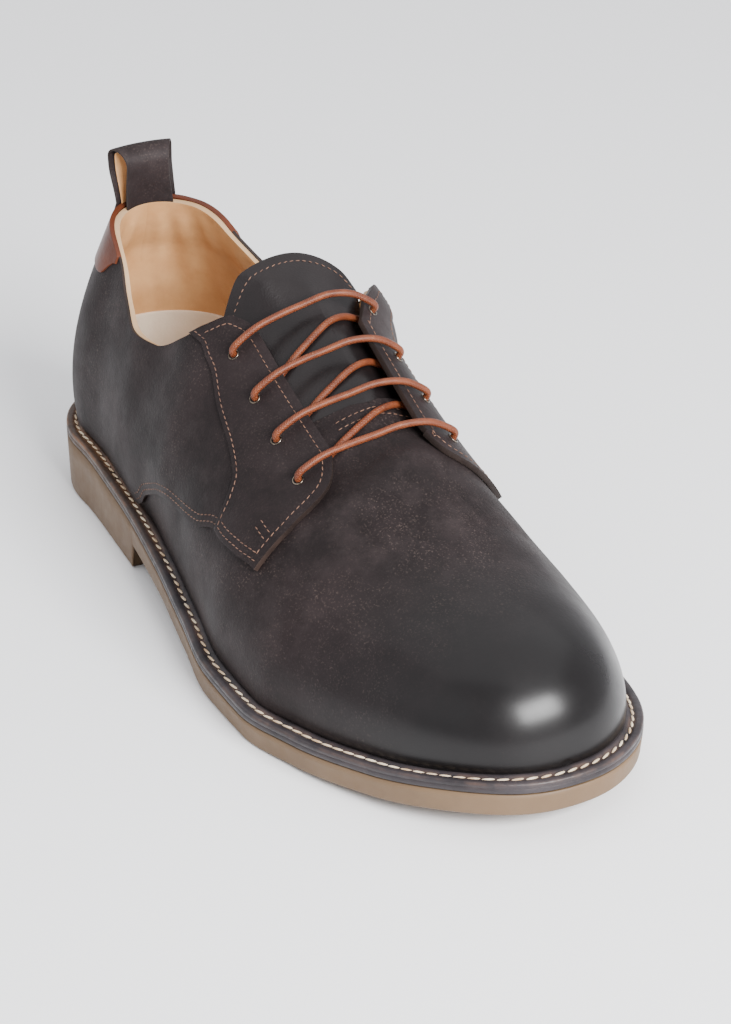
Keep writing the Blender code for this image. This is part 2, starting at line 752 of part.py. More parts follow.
def lace_path():
    """The lace's middle line: over each bar, under each diagonal, then the tail under the inner facing."""
    radius = LACE_DIAMETER / 2
    top = PANEL_CLEARANCE + EYESTAY_WALL + CLEARANCE + EYELET_FLANGE_RISE
    over = top + LACE_BEND
    under = -(UPPER_WALL + LACE_CLEARANCE + radius)
    crest = over - LACE_SETTLE
    slope = (over + crest) / 2 - CLEARANCE
    path = []

    def through(side, k, heading, down):
        """The lace turns from lying on top to lying under the facing, or the other way round."""
        centre, out, inward = eyelet_spot(side, k)
        heading = (heading - out * heading.dot(out)).normalized()
        corner = LACE_BEND * math.sqrt(0.5)
        low = under + LACE_BEND
        lower = [
            centre + heading * LACE_BEND + out * under,
            centre + heading * (LACE_BEND - corner) + out * (low - corner),
            centre + out * low,
        ]
        high = over - LACE_BEND
        upper = [
            centre + out * high,
            centre + inward * (LACE_BEND - corner) + out * (high + corner),
            centre + inward * LACE_BEND + out * over,
        ]
        points = lower + upper
        return points[::-1] if down else points

    def between(start, end, lifts):
        """Points from one eyelet to another, each at its own height above the skin."""
        points = []
        for m, lift in enumerate(lifts):
            spot = start.lerp(end, (m + 1) / (len(lifts) + 1))
            points.append(over_instep(spot.x / LAST_LENGTH, spot.y, lift))
        return points

    spots = [(eyelet_spot(-1, k)[0], eyelet_spot(1, k)[0]) for k in range(EYELET_COUNT)]
    for k, (outer, inner) in enumerate(spots):
        came_from = spots[k - 1][1] - outer if k else inner - outer
        path += through(-1, k, came_from, False)
        path += between(outer, inner, (over, slope, crest, slope, over))
        if k + 1 < EYELET_COUNT:
            path += through(1, k, spots[k + 1][0] - inner, True)
            path += between(inner, spots[k + 1][0], (under,) * 5)
    centre, out, inward = eyelet_spot(1, EYELET_COUNT - 1)
    path += through(1, EYELET_COUNT - 1, -inward, True)
    for step in range(2 * EYELET_COUNT - 1):
        k = EYELET_COUNT - 1 - step / 2
        centre, out, inward = eyelet_spot(1, k, LACE_TAIL_SPREAD)
        path.append(centre + out * under)
    return path


def make_lace(cord):
    path = lace_path()
    form = bmesh.new()
    last = len(path) - 1
    along = [(path[min(i + 1, last)] - path[max(i - 1, 0)]).normalized() for i in range(last + 1)]
    across = along[0].orthogonal().normalized()
    loops = []
    for point, heading in zip(path, along):
        across = (across - heading * across.dot(heading)).normalized()
        loops.append(circle(point, across, heading.cross(across), LACE_DIAMETER / 2, LACE_SIDES))
    add_tube(form, loops)
    return finish("lace", form, cord, 70)


def make_pull_loop(leather):
    """A strap folded over the back of the collar, open to both sides."""
    half = LOOP_THICKNESS / 2
    inside = -(UPPER_WALL + 2 * PANEL_CLEARANCE + half)
    outside = 2 * PANEL_CLEARANCE + PANEL_WALL + TAB_WALL + CLEARANCE + half
    middle = (inside + outside) / 2 - LOOP_LEAN
    bulge = LOOP_OPENING / 2 + half
    crown = LOOP_RISE - half
    profile = [(inside, -LOOP_HEM), (inside, -LOOP_HEM / 2), (inside, 0.0)]
    waist = crown - bulge
    for share in (0.25, 0.5, 0.75):
        ease = share * share * (3 - 2 * share)
        profile.append((inside + (middle - bulge - inside) * ease, waist * share))
    for k in range(LOOP_TURNS + 1):
        turn = math.pi * k / LOOP_TURNS
        profile.append((middle - bulge * math.cos(turn), waist + bulge * math.sin(turn)))
    for share in (0.75, 0.5, 0.25):
        ease = share * share * (3 - 2 * share)
        profile.append((outside + (middle + bulge - outside) * ease, waist * share))
    profile += [(outside, 0.0), (outside, -LOOP_HEM / 2), (outside, -LOOP_HEM)]
    last = len(profile) - 1

    def wall(across):
        """The side and share of the length where the strap crosses the collar."""
        y = across * LOOP_WIDTH / 2
        side = -1 if y < 0 else 1
        low, high = 0.0, HEEL_CENTRE
        for _ in range(28):
            at = (low + high) / 2
            if abs(skin(side, at, top_share(side, at), 0.0).y) < abs(y):
                low = at
            else:
                high = at
        return side, at

    def place(i, j, face):
        side, at = places[i]
        offset, height = profile[j]
        before, after = profile[max(j - 1, 0)], profile[min(j + 1, last)]
        run, rise = after[0] - before[0], after[1] - before[1]
        size = math.hypot(run, rise)
        offset -= face * half * rise / size
        height += face * half * run / size
        edge = top_share(side, at)
        if height <= 0.0:
            foot = share_where(side, at, FLANK, edge, lambda p: p.z >= rib(side, at, edge).z + height)
            return skin(side, at, foot, offset)
        rim = skin(side, at, edge, offset)
        straight = min(height / (LOOP_RISE / 2), 1.0)
        back = skin(-1, 0.0, top_share(-1, 0.0), offset)
        return Vector((rim.x + (back.x - rim.x) * straight * LOOP_FLATNESS, rim.y, rim.z + height))

    places = [wall(2 * i / LOOP_COLUMNS - 1) for i in range(LOOP_COLUMNS + 1)]
    form = bmesh.new()
    for face, flip in ((-1, True), (1, False)):
        add_grid(form, LOOP_COLUMNS, last, lambda i, j, face=face: place(i, j, face), flip)
    for j in (0, last):
        add_grid(form, LOOP_COLUMNS, 1, lambda i, m, j=j: place(i, j, (-1, 1)[m]))
    for i in (0, LOOP_COLUMNS):
        add_grid(form, last, 1, lambda j, m, i=i: place(i, j, (-1, 1)[m]))
    return finish("pull_loop", form, leather, 50)


def centre_on_floor():
    """Moves every part by the same amount, so that the shoe stands over the middle of the floor."""
    parts = [thing for thing in bpy.data.objects if thing.type == "MESH"]
    corners = [corner.co for thing in parts for corner in thing.data.vertices]
    low = Vector([min(corner[axis] for corner in corners) for axis in range(3)])
    high = Vector([max(corner[axis] for corner in corners) for axis in range(3)])
    shift = Vector((-(low.x + high.x) / 2, -(low.y + high.y) / 2, -low.z))
    for thing in parts:
        for corner in thing.data.vertices:
            corner.co += shift


def clear_scene():
    for thing in list(bpy.data.objects):
        bpy.data.objects.remove(thing, do_unlink=True)


def main():
    clear_scene()
    dark = material("dark_leather", (0.030, 0.022, 0.020), 0.55)
    cognac = material("cognac_leather", (0.28, 0.085, 0.030), 0.45)
    gum = material("gum_rubber", (0.30, 0.20, 0.125), 0.60)
    edge = material("edge_leather", (0.030, 0.027, 0.030), 0.50)
    board = material("insole_lining", (0.62, 0.50, 0.36), 0.80)
    make_outsole(gum)
    make_midsole(edge)
    make_welt(edge)
    make_insole(board)
    upper = make_upper(dark)
    make_tongue(dark)
    brass = material("eyelet_brass", (0.25, 0.17, 0.10), 0.35, 1.0)
    for side, word in ((-1, "lateral"), (1, "medial")):
        eyestay = make_eyestay(side, "eyestay_" + word, dark)
        make_quarter(side, "quarter_" + word, dark)
        cut_eyelet_holes(side, (eyestay, upper))
        for k in range(EYELET_COUNT):
            make_eyelet(side, k, "eyelet_" + word + "_" + str(k + 1), brass)
    make_heel_tab(cognac)
    make_pull_loop(dark)
    make_lace(material("lace_cord", (0.36, 0.115, 0.045), 0.55))
    centre_on_floor()


main()
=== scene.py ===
import math
import random

import bmesh
import bpy
from mathutils import Matrix, Vector


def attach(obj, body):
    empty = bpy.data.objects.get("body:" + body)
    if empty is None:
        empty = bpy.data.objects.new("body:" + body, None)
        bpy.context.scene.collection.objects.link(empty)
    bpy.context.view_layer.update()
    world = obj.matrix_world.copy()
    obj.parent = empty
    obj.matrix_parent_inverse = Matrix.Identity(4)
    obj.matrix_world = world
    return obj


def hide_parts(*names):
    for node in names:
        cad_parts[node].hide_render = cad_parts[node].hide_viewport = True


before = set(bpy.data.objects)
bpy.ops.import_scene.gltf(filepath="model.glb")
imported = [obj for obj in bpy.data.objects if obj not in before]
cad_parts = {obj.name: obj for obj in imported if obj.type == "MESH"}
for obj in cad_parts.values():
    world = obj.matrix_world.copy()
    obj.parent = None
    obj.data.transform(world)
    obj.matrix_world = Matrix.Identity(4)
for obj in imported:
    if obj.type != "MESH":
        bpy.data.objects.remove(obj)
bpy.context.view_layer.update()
random.seed(7)
print("frame loaded")

# camera, floor and light come first
cameraSet = {
    "spot": (0.7945, -0.4075, 0.5085),
    "aim": (0.0150, 0.0100, 0.0420),
    "lens": 109.0,
    "sensor": 36.0,
}
lightSet = {
    "overhead": {"spot": (-0.30, 0.20, 1.80), "aim": (0.0, 0.0, 0.05), "size": (3.2, 2.6), "power": 22.0},
    "front": {"spot": (1.20, 0.16, 0.80), "aim": (0.05, 0.0, 0.05), "size": (0.84, 0.48), "power": 54.0},
    "outerSide": {"spot": (0.15, -1.45, 0.85), "aim": (0.0, 0.0, 0.05), "size": (1.8, 1.0), "power": 3.0},
}
floorSet = {
    "reach": 9.0, "colour": (0.955, 0.955, 0.965), "roughness": 0.6, "sky": (0.95, 0.96, 1.0), "skyStrength": 0.86,
}


def aimed(thing, spot, aim):
    thing.location = spot
    thing.rotation_euler = (Vector(aim) - Vector(spot)).to_track_quat("-Z", "Y").to_euler()
    bpy.context.scene.collection.objects.link(thing)


lens = bpy.data.cameras.new("shoeCamera")
lens.lens = cameraSet["lens"]
lens.sensor_width = cameraSet["sensor"]
shoeCamera = bpy.data.objects.new("shoeCamera", lens)
aimed(shoeCamera, cameraSet["spot"], cameraSet["aim"])
bpy.context.scene.camera = shoeCamera

for lampName, lamp in lightSet.items():
    panel = bpy.data.lights.new(lampName, "AREA")
    panel.shape = "RECTANGLE"
    panel.size, panel.size_y = lamp["size"]
    panel.energy = lamp["power"]
    aimed(bpy.data.objects.new(lampName, panel), lamp["spot"], lamp["aim"])

sky = bpy.data.worlds.new("studio")
sky.use_nodes = True
skyLight = sky.node_tree.nodes["Background"]
skyLight.inputs["Color"].default_value = (*floorSet["sky"], 1)
skyLight.inputs["Strength"].default_value = floorSet["skyStrength"]
bpy.context.scene.world = sky

floorForm = bmesh.new()
bmesh.ops.create_grid(floorForm, x_segments=1, y_segments=1, size=floorSet["reach"])
floorMesh = bpy.data.meshes.new("floor")
floorForm.to_mesh(floorMesh)
floorForm.free()
floorPaint = bpy.data.materials.new("paleFloor")
floorPaint.use_nodes = True
floorShader = floorPaint.node_tree.nodes["Principled BSDF"]
floorShader.inputs["Base Color"].default_value = (*floorSet["colour"], 1)
floorShader.inputs["Roughness"].default_value = floorSet["roughness"]
floorMesh.materials.append(floorPaint)
floorPiece = bpy.data.objects.new("floor", floorMesh)
bpy.context.scene.collection.objects.link(floorPiece)
print("camera, floor and light stand")


# the last: lengths in metres, shares of the last's length from the heel, and powers of its rounded ends
last = {
    "length": 0.290, "ballWidth": 0.100, "instepHeight": 0.079,
    "collarHeight": 0.074, "ankleDip": 0.021, "facingRise": 0.006,
    "facingGap": 0.029, "throatSide": 0.004,
    "heelStack": 0.0245, "forefootStack": 0.0115, "toeSpring": 0.0075, "archLift": 0.009,
    "heelLength": 0.088, "breastDraft": 0.001,
    "clearance": 0.0003, "wall": 0.0018,
    "heelCentre": 0.12, "toeTurn": 0.76, "toeDrop": 0.84,
    "facingFrom": 0.37, "throatFrom": 0.605,
    "toeRound": 2.25, "toeFullness": 2.3, "heelRound": 2.1,
    "flank": 0.3, "searchSteps": 26, "cornerSoftness": {-1: 0.09, 1: 0.26},
    "shift": (-0.145, 0.002204, 0.0),
}


def table(columns, *rows):
    return [dict(zip(columns.split(), row)) for row in rows]


# half widths of the feather line, shares of the ball width
plan = table(
    "at outer inner",
    (0.12, 0.343, 0.343), (0.25, 0.372, 0.315), (0.40, 0.425, 0.305), (0.52, 0.485, 0.365),
    (0.62, 0.535, 0.435), (0.70, 0.538, 0.480), (0.78, 0.485, 0.495), (0.88, 0.420, 0.490),
    (1.00, 0.385, 0.490),
)
soleCurve = table(
    "at heel arch spring",
    (0.00, 1.00, 1.00, 0.00), (0.12, 1.00, 1.00, 0.00), (0.28, 0.86, 1.00, 0.00), (0.40, 0.58, 0.72, 0.00),
    (0.52, 0.26, 0.22, 0.00), (0.60, 0.09, 0.00, 0.00), (0.70, 0.00, 0.00, 0.00), (0.78, 0.00, 0.00, 0.10),
    (0.88, 0.00, 0.00, 0.44), (1.00, 0.00, 0.00, 1.00),
)
# crown height over the instep height, the crown's half width and its ridge over the ball width, degrees of fall
ribs = table(
    "at crown half ridge brow",
    (0.00, 1.25, 0.140, 0.000, 72), (0.12, 1.25, 0.085, 0.000, 72), (0.25, 1.26, 0.115, 0.075, 65),
    (0.33, 1.20, 0.110, 0.145, 48), (0.38, 1.13, 0.060, 0.170, 28), (0.42, 1.065, 0.010, 0.180, 12),
    (0.46, 0.997, 0.000, 0.180, 5), (0.50, 0.935, 0.000, 0.175, 4), (0.58, 0.828, 0.000, 0.160, 4),
    (0.64, 0.752, 0.000, 0.145, 3), (0.70, 0.680, 0.000, 0.120, 2), (0.80, 0.560, 0.000, 0.060, 1),
    (0.90, 0.480, 0.000, 0.015, 0), (1.00, 0.430, 0.000, 0.000, 0),
)
outerSwell = table(
    "at lean foot top",
    (0.00, 13, 0.37, 0.36), (0.12, 9, 0.38, 0.36), (0.33, 8, 0.40, 0.42), (0.42, 8, 0.45, 0.50),
    (0.58, 9, 0.48, 0.54), (0.70, 10, 0.52, 0.56), (0.90, 6, 0.58, 0.58), (1.00, 4, 0.58, 0.58),
)
innerSwell = table(
    "at lean foot top",
    (0.00, 13, 0.37, 0.36), (0.12, 9, 0.38, 0.36), (0.25, 14, 0.40, 0.46), (0.33, 20, 0.48, 0.62),
    (0.42, 24, 0.54, 0.85), (0.52, 20, 0.54, 0.78), (0.62, 15, 0.54, 0.66), (0.72, 12, 0.54, 0.60),
    (0.90, 6, 0.58, 0.58), (1.00, 4, 0.58, 0.58),
)
topLine = table(
    "at dip climb",
    (0.000, 0.00, 0.00), (0.060, 0.05, 0.00), (0.100, 0.18, 0.00), (0.142, 0.45, 0.00), (0.185, 0.80, 0.00),
    (0.230, 1.00, 0.00), (0.285, 0.90, 0.00), (0.336, 0.48, 0.05), (0.361, 0.20, 0.20), (0.387, 0.00, 0.50),
    (0.430, 0.00, 1.00),
)


def smooth(rows, column, at):
    if at <= rows[0]["at"]:
        return rows[0][column]
    if at >= rows[-1]["at"]:
        return rows[-1][column]
    end = len(rows) - 1
    low = max(k for k in range(end) if rows[k]["at"] <= at)

    def rise(k):
        return (rows[k + 1][column] - rows[k][column]) / (rows[k + 1]["at"] - rows[k]["at"])

    def slope(k):
        if k in (0, end):
            return 0.0
        before, after = rise(k - 1), rise(k)
        return 2 * before * after / (before + after) if before * after > 0 else 0.0

    step = rows[low + 1]["at"] - rows[low]["at"]
    t = (at - rows[low]["at"]) / step
    return (
        (2 * t**3 - 3 * t**2 + 1) * rows[low][column]
        + (t**3 - 2 * t**2 + t) * step * slope(low)
        + (3 * t**2 - 2 * t**3) * rows[low + 1][column]
        + (t**3 - t**2) * step * slope(low + 1)
    )


def eased(value, start, end):
    s = min(max((value - start) / (end - start), 0.0), 1.0)
    return s * s * (3 - 2 * s)


def closing(at, start, power):
    s = min(max((at - start) / (1 - start), 0.0), 1.0)
    return max(1 - s**power, 0.0) ** (1 / power)


def featherHeight(at):
    heel = (last["heelStack"] - last["forefootStack"]) * smooth(soleCurve, "heel", at)
    return last["forefootStack"] + heel + last["toeSpring"] * smooth(soleCurve, "spring", at)


def treadHeight(at):
    if at * last["length"] < last["heelLength"] + last["breastDraft"] / 2:
        return 0.0
    return last["archLift"] * smooth(soleCurve, "arch", at) + last["toeSpring"] * smooth(soleCurve, "spring", at)


def outline(side, at):
    if at < last["heelCentre"]:
        turn = math.pi / 2 * (1 - at / last["heelCentre"])
        half = last["ballWidth"] * plan[0]["outer"]
        back = last["heelCentre"] * last["length"]
        power = last["heelRound"]
        radius = ((math.cos(turn) / half) ** power + (math.sin(turn) / back) ** power) ** (-1 / power)
        return back - radius * math.sin(turn), side * radius * math.cos(turn)
    inner = last["ballWidth"] * smooth(plan, "inner", at)
    outer = last["ballWidth"] * smooth(plan, "outer", at)
    openShare = closing(at, last["toeTurn"], last["toeRound"])
    return last["length"] * at, (inner - outer) / 2 + side * (inner + outer) / 2 * openShare


ribShapes = {}


def ribShape(side, at):
    key = (side, round(at, 8))
    if key not in ribShapes:
        x, y = outline(side, at)
        if at < last["heelCentre"]:
            axisX, axisY = last["heelCentre"] * last["length"], 0.0
        else:
            middle = (smooth(plan, "inner", at) - smooth(plan, "outer", at)) / 2
            axisX, axisY = last["length"] * at, last["ballWidth"] * (middle + smooth(ribs, "ridge", at))
        reach = math.hypot(x - axisX, y - axisY)
        outX, outY = ((x - axisX) / reach, (y - axisY) / reach) if reach > 1e-9 else (0.0, side)
        swell = innerSwell if side > 0 else outerSwell
        height = last["instepHeight"] * smooth(ribs, "crown", at) * closing(at, last["toeDrop"], last["toeFullness"])
        crown = last["ballWidth"] * smooth(ribs, "half", at)
        lean = math.radians(smooth(swell, "lean", at))
        brow = math.radians(smooth(ribs, "brow", at))
        foot = smooth(swell, "foot", at) * height
        top = smooth(swell, "top", at) * ((reach - crown) * math.cos(brow) + height * math.sin(brow))
        across = (reach, reach + foot * math.sin(lean), crown + top * math.cos(brow), crown)
        up = (0.0, foot * math.cos(lean), height - top * math.sin(brow), height)
        ribShapes[key] = (axisX, axisY, outX, outY, across, up, featherHeight(at) + last["clearance"])
    return ribShapes[key]


def rib(side, at, t):
    axisX, axisY, outX, outY, across, up, base = ribShape(side, at)
    weights = ((1 - t) ** 3, 3 * t * (1 - t) ** 2, 3 * t**2 * (1 - t), t**3)
    out = sum(w * a for w, a in zip(weights, across))
    return Vector((axisX + outX * out, axisY + outY * out, base + sum(w * u for w, u in zip(weights, up))))


def acrossSkin(side, at, t):
    step = 1e-4
    along = rib(side, min(at + step, 1.0), t) - rib(side, max(at - step, 0.0), t)
    up = rib(side, at, min(t + step, 1.0)) - rib(side, at, max(t - step, 0.0))
    return (along.cross(up) * -side).normalized()


def outward(side, at, t):
    if at >= 1.0:
        return Vector((1.0, 0.0, 0.0))
    if at == 0.0 or (t > 1.0 - 1e-6 and smooth(ribs, "half", at) == 0.0):
        both = acrossSkin(-1, at, t) + acrossSkin(1, at, t)
        return Vector((both.x, 0.0, both.z)).normalized()
    return acrossSkin(side, at, t)


def skin(side, at, t, lift):
    return rib(side, at, t) + outward(side, at, t) * lift


def shareWhere(side, at, low, high, reached):
    for _ in range(last["searchSteps"]):
        middle = (low + high) / 2
        if reached(rib(side, at, middle)):
            high = middle
        else:
            low = middle
    return (low + high) / 2


def gapShare(side, at, gap=last["facingGap"]):
    return shareWhere(side, at, last["flank"], 1.0, lambda p: (p.y - last["throatSide"]) * side <= gap / 2)


topShares = {}


def topShare(side, at):
    key = (side, round(at, 8))
    if key not in topShares:
        collar = last["collarHeight"] - last["ankleDip"] * smooth(topLine, "dip", at)
        collar += last["facingRise"] * smooth(topLine, "climb", at)
        ground = featherHeight(at)
        byHeight = shareWhere(side, at, 0.0, 1.0, lambda p: p.z - ground >= collar)
        share = byHeight
        if at >= last["facingFrom"]:
            byGap = gapShare(side, at)
            lower, upper = min(byHeight, byGap), max(byHeight, byGap)
            softness = last["cornerSoftness"][side]
            near = max(softness - (upper - lower), 0.0) / softness
            share = lower - near * near * softness / 4 if at < last["throatFrom"] else byGap
        topShares[key] = share
    return topShares[key]


# soft troughs and ridges of the leather. size: metres out (+) or in (-), width: metres, from and to: at and t
folds = table(
    "side startAt startT endAt endT size width",
    (-1, 0.030, 0.78, 0.060, 0.05, 0.0005, 0.0050),
    (-1, 0.120, 0.70, 0.180, 0.12, -0.0006, 0.0110),
    (-1, 0.235, 0.62, 0.285, 0.08, 0.0007, 0.0080),
    (-1, 0.315, 0.52, 0.345, 0.20, -0.0006, 0.0100),
    (-1, 0.190, 0.60, 0.330, 0.58, -0.0005, 0.0060),
    (-1, 0.345, 0.02, 0.440, 0.16, -0.0006, 0.0070),
    (-1, 0.690, 0.55, 0.716, 1.00, -0.0003, 0.0045),
    (1, 0.690, 0.60, 0.716, 1.00, -0.0003, 0.0045),
    (-1, 0.735, 0.60, 0.748, 1.00, -0.0002, 0.0040),
    (1, 0.735, 0.62, 0.748, 1.00, -0.0002, 0.0040),
    (1, 0.030, 0.78, 0.060, 0.05, 0.0005, 0.0050),
    (1, 0.140, 0.68, 0.190, 0.12, -0.0005, 0.0110),
    (1, 0.250, 0.55, 0.290, 0.08, 0.0006, 0.0080),
    (1, 0.350, 0.40, 0.420, 0.20, -0.0006, 0.0100),
)
girth = 0.085  # a rib's usual length


def relief(side, at, t):
    total = 0.0
    for fold in folds:
        if fold["side"] != side:
            continue
        startX, startY = fold["startAt"] * last["length"], fold["startT"] * girth
        runX = fold["endAt"] * last["length"] - startX
        runY = fold["endT"] * girth - startY
        offX, offY = at * last["length"] - startX, t * girth - startY
        along = min(max((offX * runX + offY * runY) / (runX**2 + runY**2), 0.0), 1.0)
        far = math.hypot(offX - runX * along, offY - runY * along) / fold["width"]
        total += fold["size"] * math.exp(-far * far)
    return total


def span(start, end, count):
    return [start + (end - start) * k / count for k in range(count + 1)]


def toeShares(steps):
    return [last["toeTurn"] + (1 - last["toeTurn"]) * math.sin(math.pi / 2 * k / steps) for k in range(steps + 1)]


# shares of the length for a piece that goes round the shoe, closer together at the toe
def roundShares(heelSteps, sideSteps, toeSteps):
    straight = last["toeTurn"] - last["heelCentre"]
    heel = [last["heelCentre"] * k / heelSteps for k in range(heelSteps)]
    side = [last["heelCentre"] + straight * k / sideSteps for k in range(sideSteps)]
    return heel + side + toeShares(toeSteps)


# the point that lies reach outside the feather line
def feather(side, at, reach):
    step = 1e-5
    x, y = outline(side, at)
    if at <= 0.0 or at >= 1.0:
        return x + (reach if at >= 1.0 else -reach), y
    before, after = outline(side, at - step), outline(side, min(at + step, 1.0))
    along = Vector((after[0] - before[0], after[1] - before[1])).normalized()
    return x - side * along.y * reach, y + side * along.x * reach


# meshes start as a flat grid whose corners are moved to their places
def movedGrid(columns, rows, place):
    form = bmesh.new()
    bmesh.ops.create_grid(form, x_segments=columns, y_segments=rows, size=0.5)
    for corner in form.verts:
        i = round((corner.co.x + 0.5) * columns)
        j = round((corner.co.y + 0.5) * rows)
        corner.co = place(i, j)
    form.normal_update()
    return form


def skinSheet(columns, rows, spot, creased=True):
    def place(i, j):
        side, at, t, lift = spot(i, j)
        return skin(side, at, t, lift + (relief(side, at, t) if creased else 0.0))

    form = movedGrid(columns, rows, place)
    side, at, t, lift = spot(columns // 2, rows // 2)
    centre = skin(side, at, t, lift)
    nearest = min(form.faces, key=lambda face: (face.calc_center_median() - centre).length)
    if nearest.normal.dot(outward(side, at, t)) < 0:
        bmesh.ops.reverse_faces(form, faces=form.faces)
    return form


softAngle = math.radians(40)


def finishPiece(name, form, paints, slotName, nodes=(), wall=0.0, soft=0.0):
    bmesh.ops.remove_doubles(form, verts=form.verts, dist=2e-6)
    bmesh.ops.dissolve_degenerate(form, edges=form.edges, dist=1e-7)
    bmesh.ops.translate(form, verts=form.verts, vec=Vector(last["shift"]))
    mesh = bpy.data.meshes.new(name)
    form.to_mesh(mesh)
    form.free()
    mesh.shade_smooth()
    for paint in paints:
        mesh.materials.append(paint)
    piece = bpy.data.objects.new(name, mesh)
    bpy.context.scene.collection.objects.link(piece)
    if wall:
        shell = piece.modifiers.new("wall", "SOLIDIFY")
        shell.thickness = wall
        shell.offset = -1
        shell.use_even_offset = False
        shell.use_rim = True
        if len(paints) > 1:
            shell.material_offset_rim = 1
    if soft:
        rounded = piece.modifiers.new("softEdge", "BEVEL")
        rounded.width = soft
        rounded.segments = 3
        rounded.limit_method = "ANGLE"
        rounded.angle_limit = softAngle
        rounded.use_clamp_overlap = True
        rounded.harden_normals = False
    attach(piece, "root")
    if nodes:
        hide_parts(*nodes)
    print("piece", name, len(mesh.polygons))
    return piece


# finishes: small helpers, then one function for each finish
def startPaint(name, roughness, specular=0.5):
    made = bpy.data.materials.new(name)
    made.use_nodes = True
    shader = made.node_tree.nodes["Principled BSDF"]
    shader.inputs["Roughness"].default_value = roughness
    shader.inputs["Specular IOR Level"].default_value = specular
    place = made.node_tree.nodes.new("ShaderNodeTexCoord")
    return made, made.node_tree, shader, place.outputs["Object"]


def noiseOf(tree, place, scale, detail=3.0, rough=0.5, stretch=None):
    if stretch:
        mapping = tree.nodes.new("ShaderNodeMapping")
        mapping.inputs["Scale"].default_value = stretch
        tree.links.new(place, mapping.inputs["Vector"])
        place = mapping.outputs["Vector"]
    made = tree.nodes.new("ShaderNodeTexNoise")
    made.inputs["Scale"].default_value = scale
    made.inputs["Detail"].default_value = detail
    made.inputs["Roughness"].default_value = rough
    tree.links.new(place, made.inputs["Vector"])
    return made.outputs["Fac"]


def cellsOf(tree, place, scale):
    made = tree.nodes.new("ShaderNodeTexVoronoi")
    made.inputs["Scale"].default_value = scale
    tree.links.new(place, made.inputs["Vector"])
    return made.outputs["Distance"]


def ranged(tree, value, low, high, toLow=0.0, toHigh=1.0):
    made = tree.nodes.new("ShaderNodeMapRange")
    made.inputs["From Min"].default_value = low
    made.inputs["From Max"].default_value = high
    made.inputs["To Min"].default_value = toLow
    made.inputs["To Max"].default_value = toHigh
    tree.links.new(value, made.inputs["Value"])
    return made.outputs["Result"]


def patches(tree, place, scale, detail, rough, low, high, toLow=0.0, toHigh=1.0):
    return ranged(tree, noiseOf(tree, place, scale, detail, rough), low, high, toLow, toHigh)


def sums(tree, kind, first, second):
    made = tree.nodes.new("ShaderNodeMath")
    made.operation = kind
    for socket, value in ((made.inputs[0], first), (made.inputs[1], second)):
        if isinstance(value, (int, float)):
            socket.default_value = value
        else:
            tree.links.new(value, socket)
    return made.outputs["Value"]


def blended(tree, factor, first, second):
    made = tree.nodes.new("ShaderNodeMix")
    made.data_type = "RGBA"
    if isinstance(factor, (int, float)):
        made.inputs["Factor"].default_value = factor
    else:
        tree.links.new(factor, made.inputs["Factor"])
    for socket, value in ((made.inputs["A"], first), (made.inputs["B"], second)):
        if isinstance(value, tuple):
            socket.default_value = (*value, 1)
        else:
            tree.links.new(value, socket)
    return made.outputs["Result"]


def bumped(tree, shader, height, distance, strength=1.0, under=None):
    made = tree.nodes.new("ShaderNodeBump")
    made.inputs["Strength"].default_value = strength
    made.inputs["Distance"].default_value = distance
    tree.links.new(height, made.inputs["Height"])
    if under is not None:
        tree.links.new(under, made.inputs["Normal"])
    tree.links.new(made.outputs["Normal"], shader.inputs["Normal"])
    return made.outputs["Normal"]


def axisOf(tree, place, axis):
    made = tree.nodes.new("ShaderNodeSeparateXYZ")
    tree.links.new(place, made.inputs["Vector"])
    return made.outputs[axis]


nubuckSet = {
    "deep": (0.0085, 0.0058, 0.0060), "body": (0.0215, 0.0148, 0.0152), "patina": (0.0480, 0.0360, 0.0360),
    "nap": (0.135, 0.098, 0.084), "napSize": 1450.0, "cloudSize": 24.0,
}


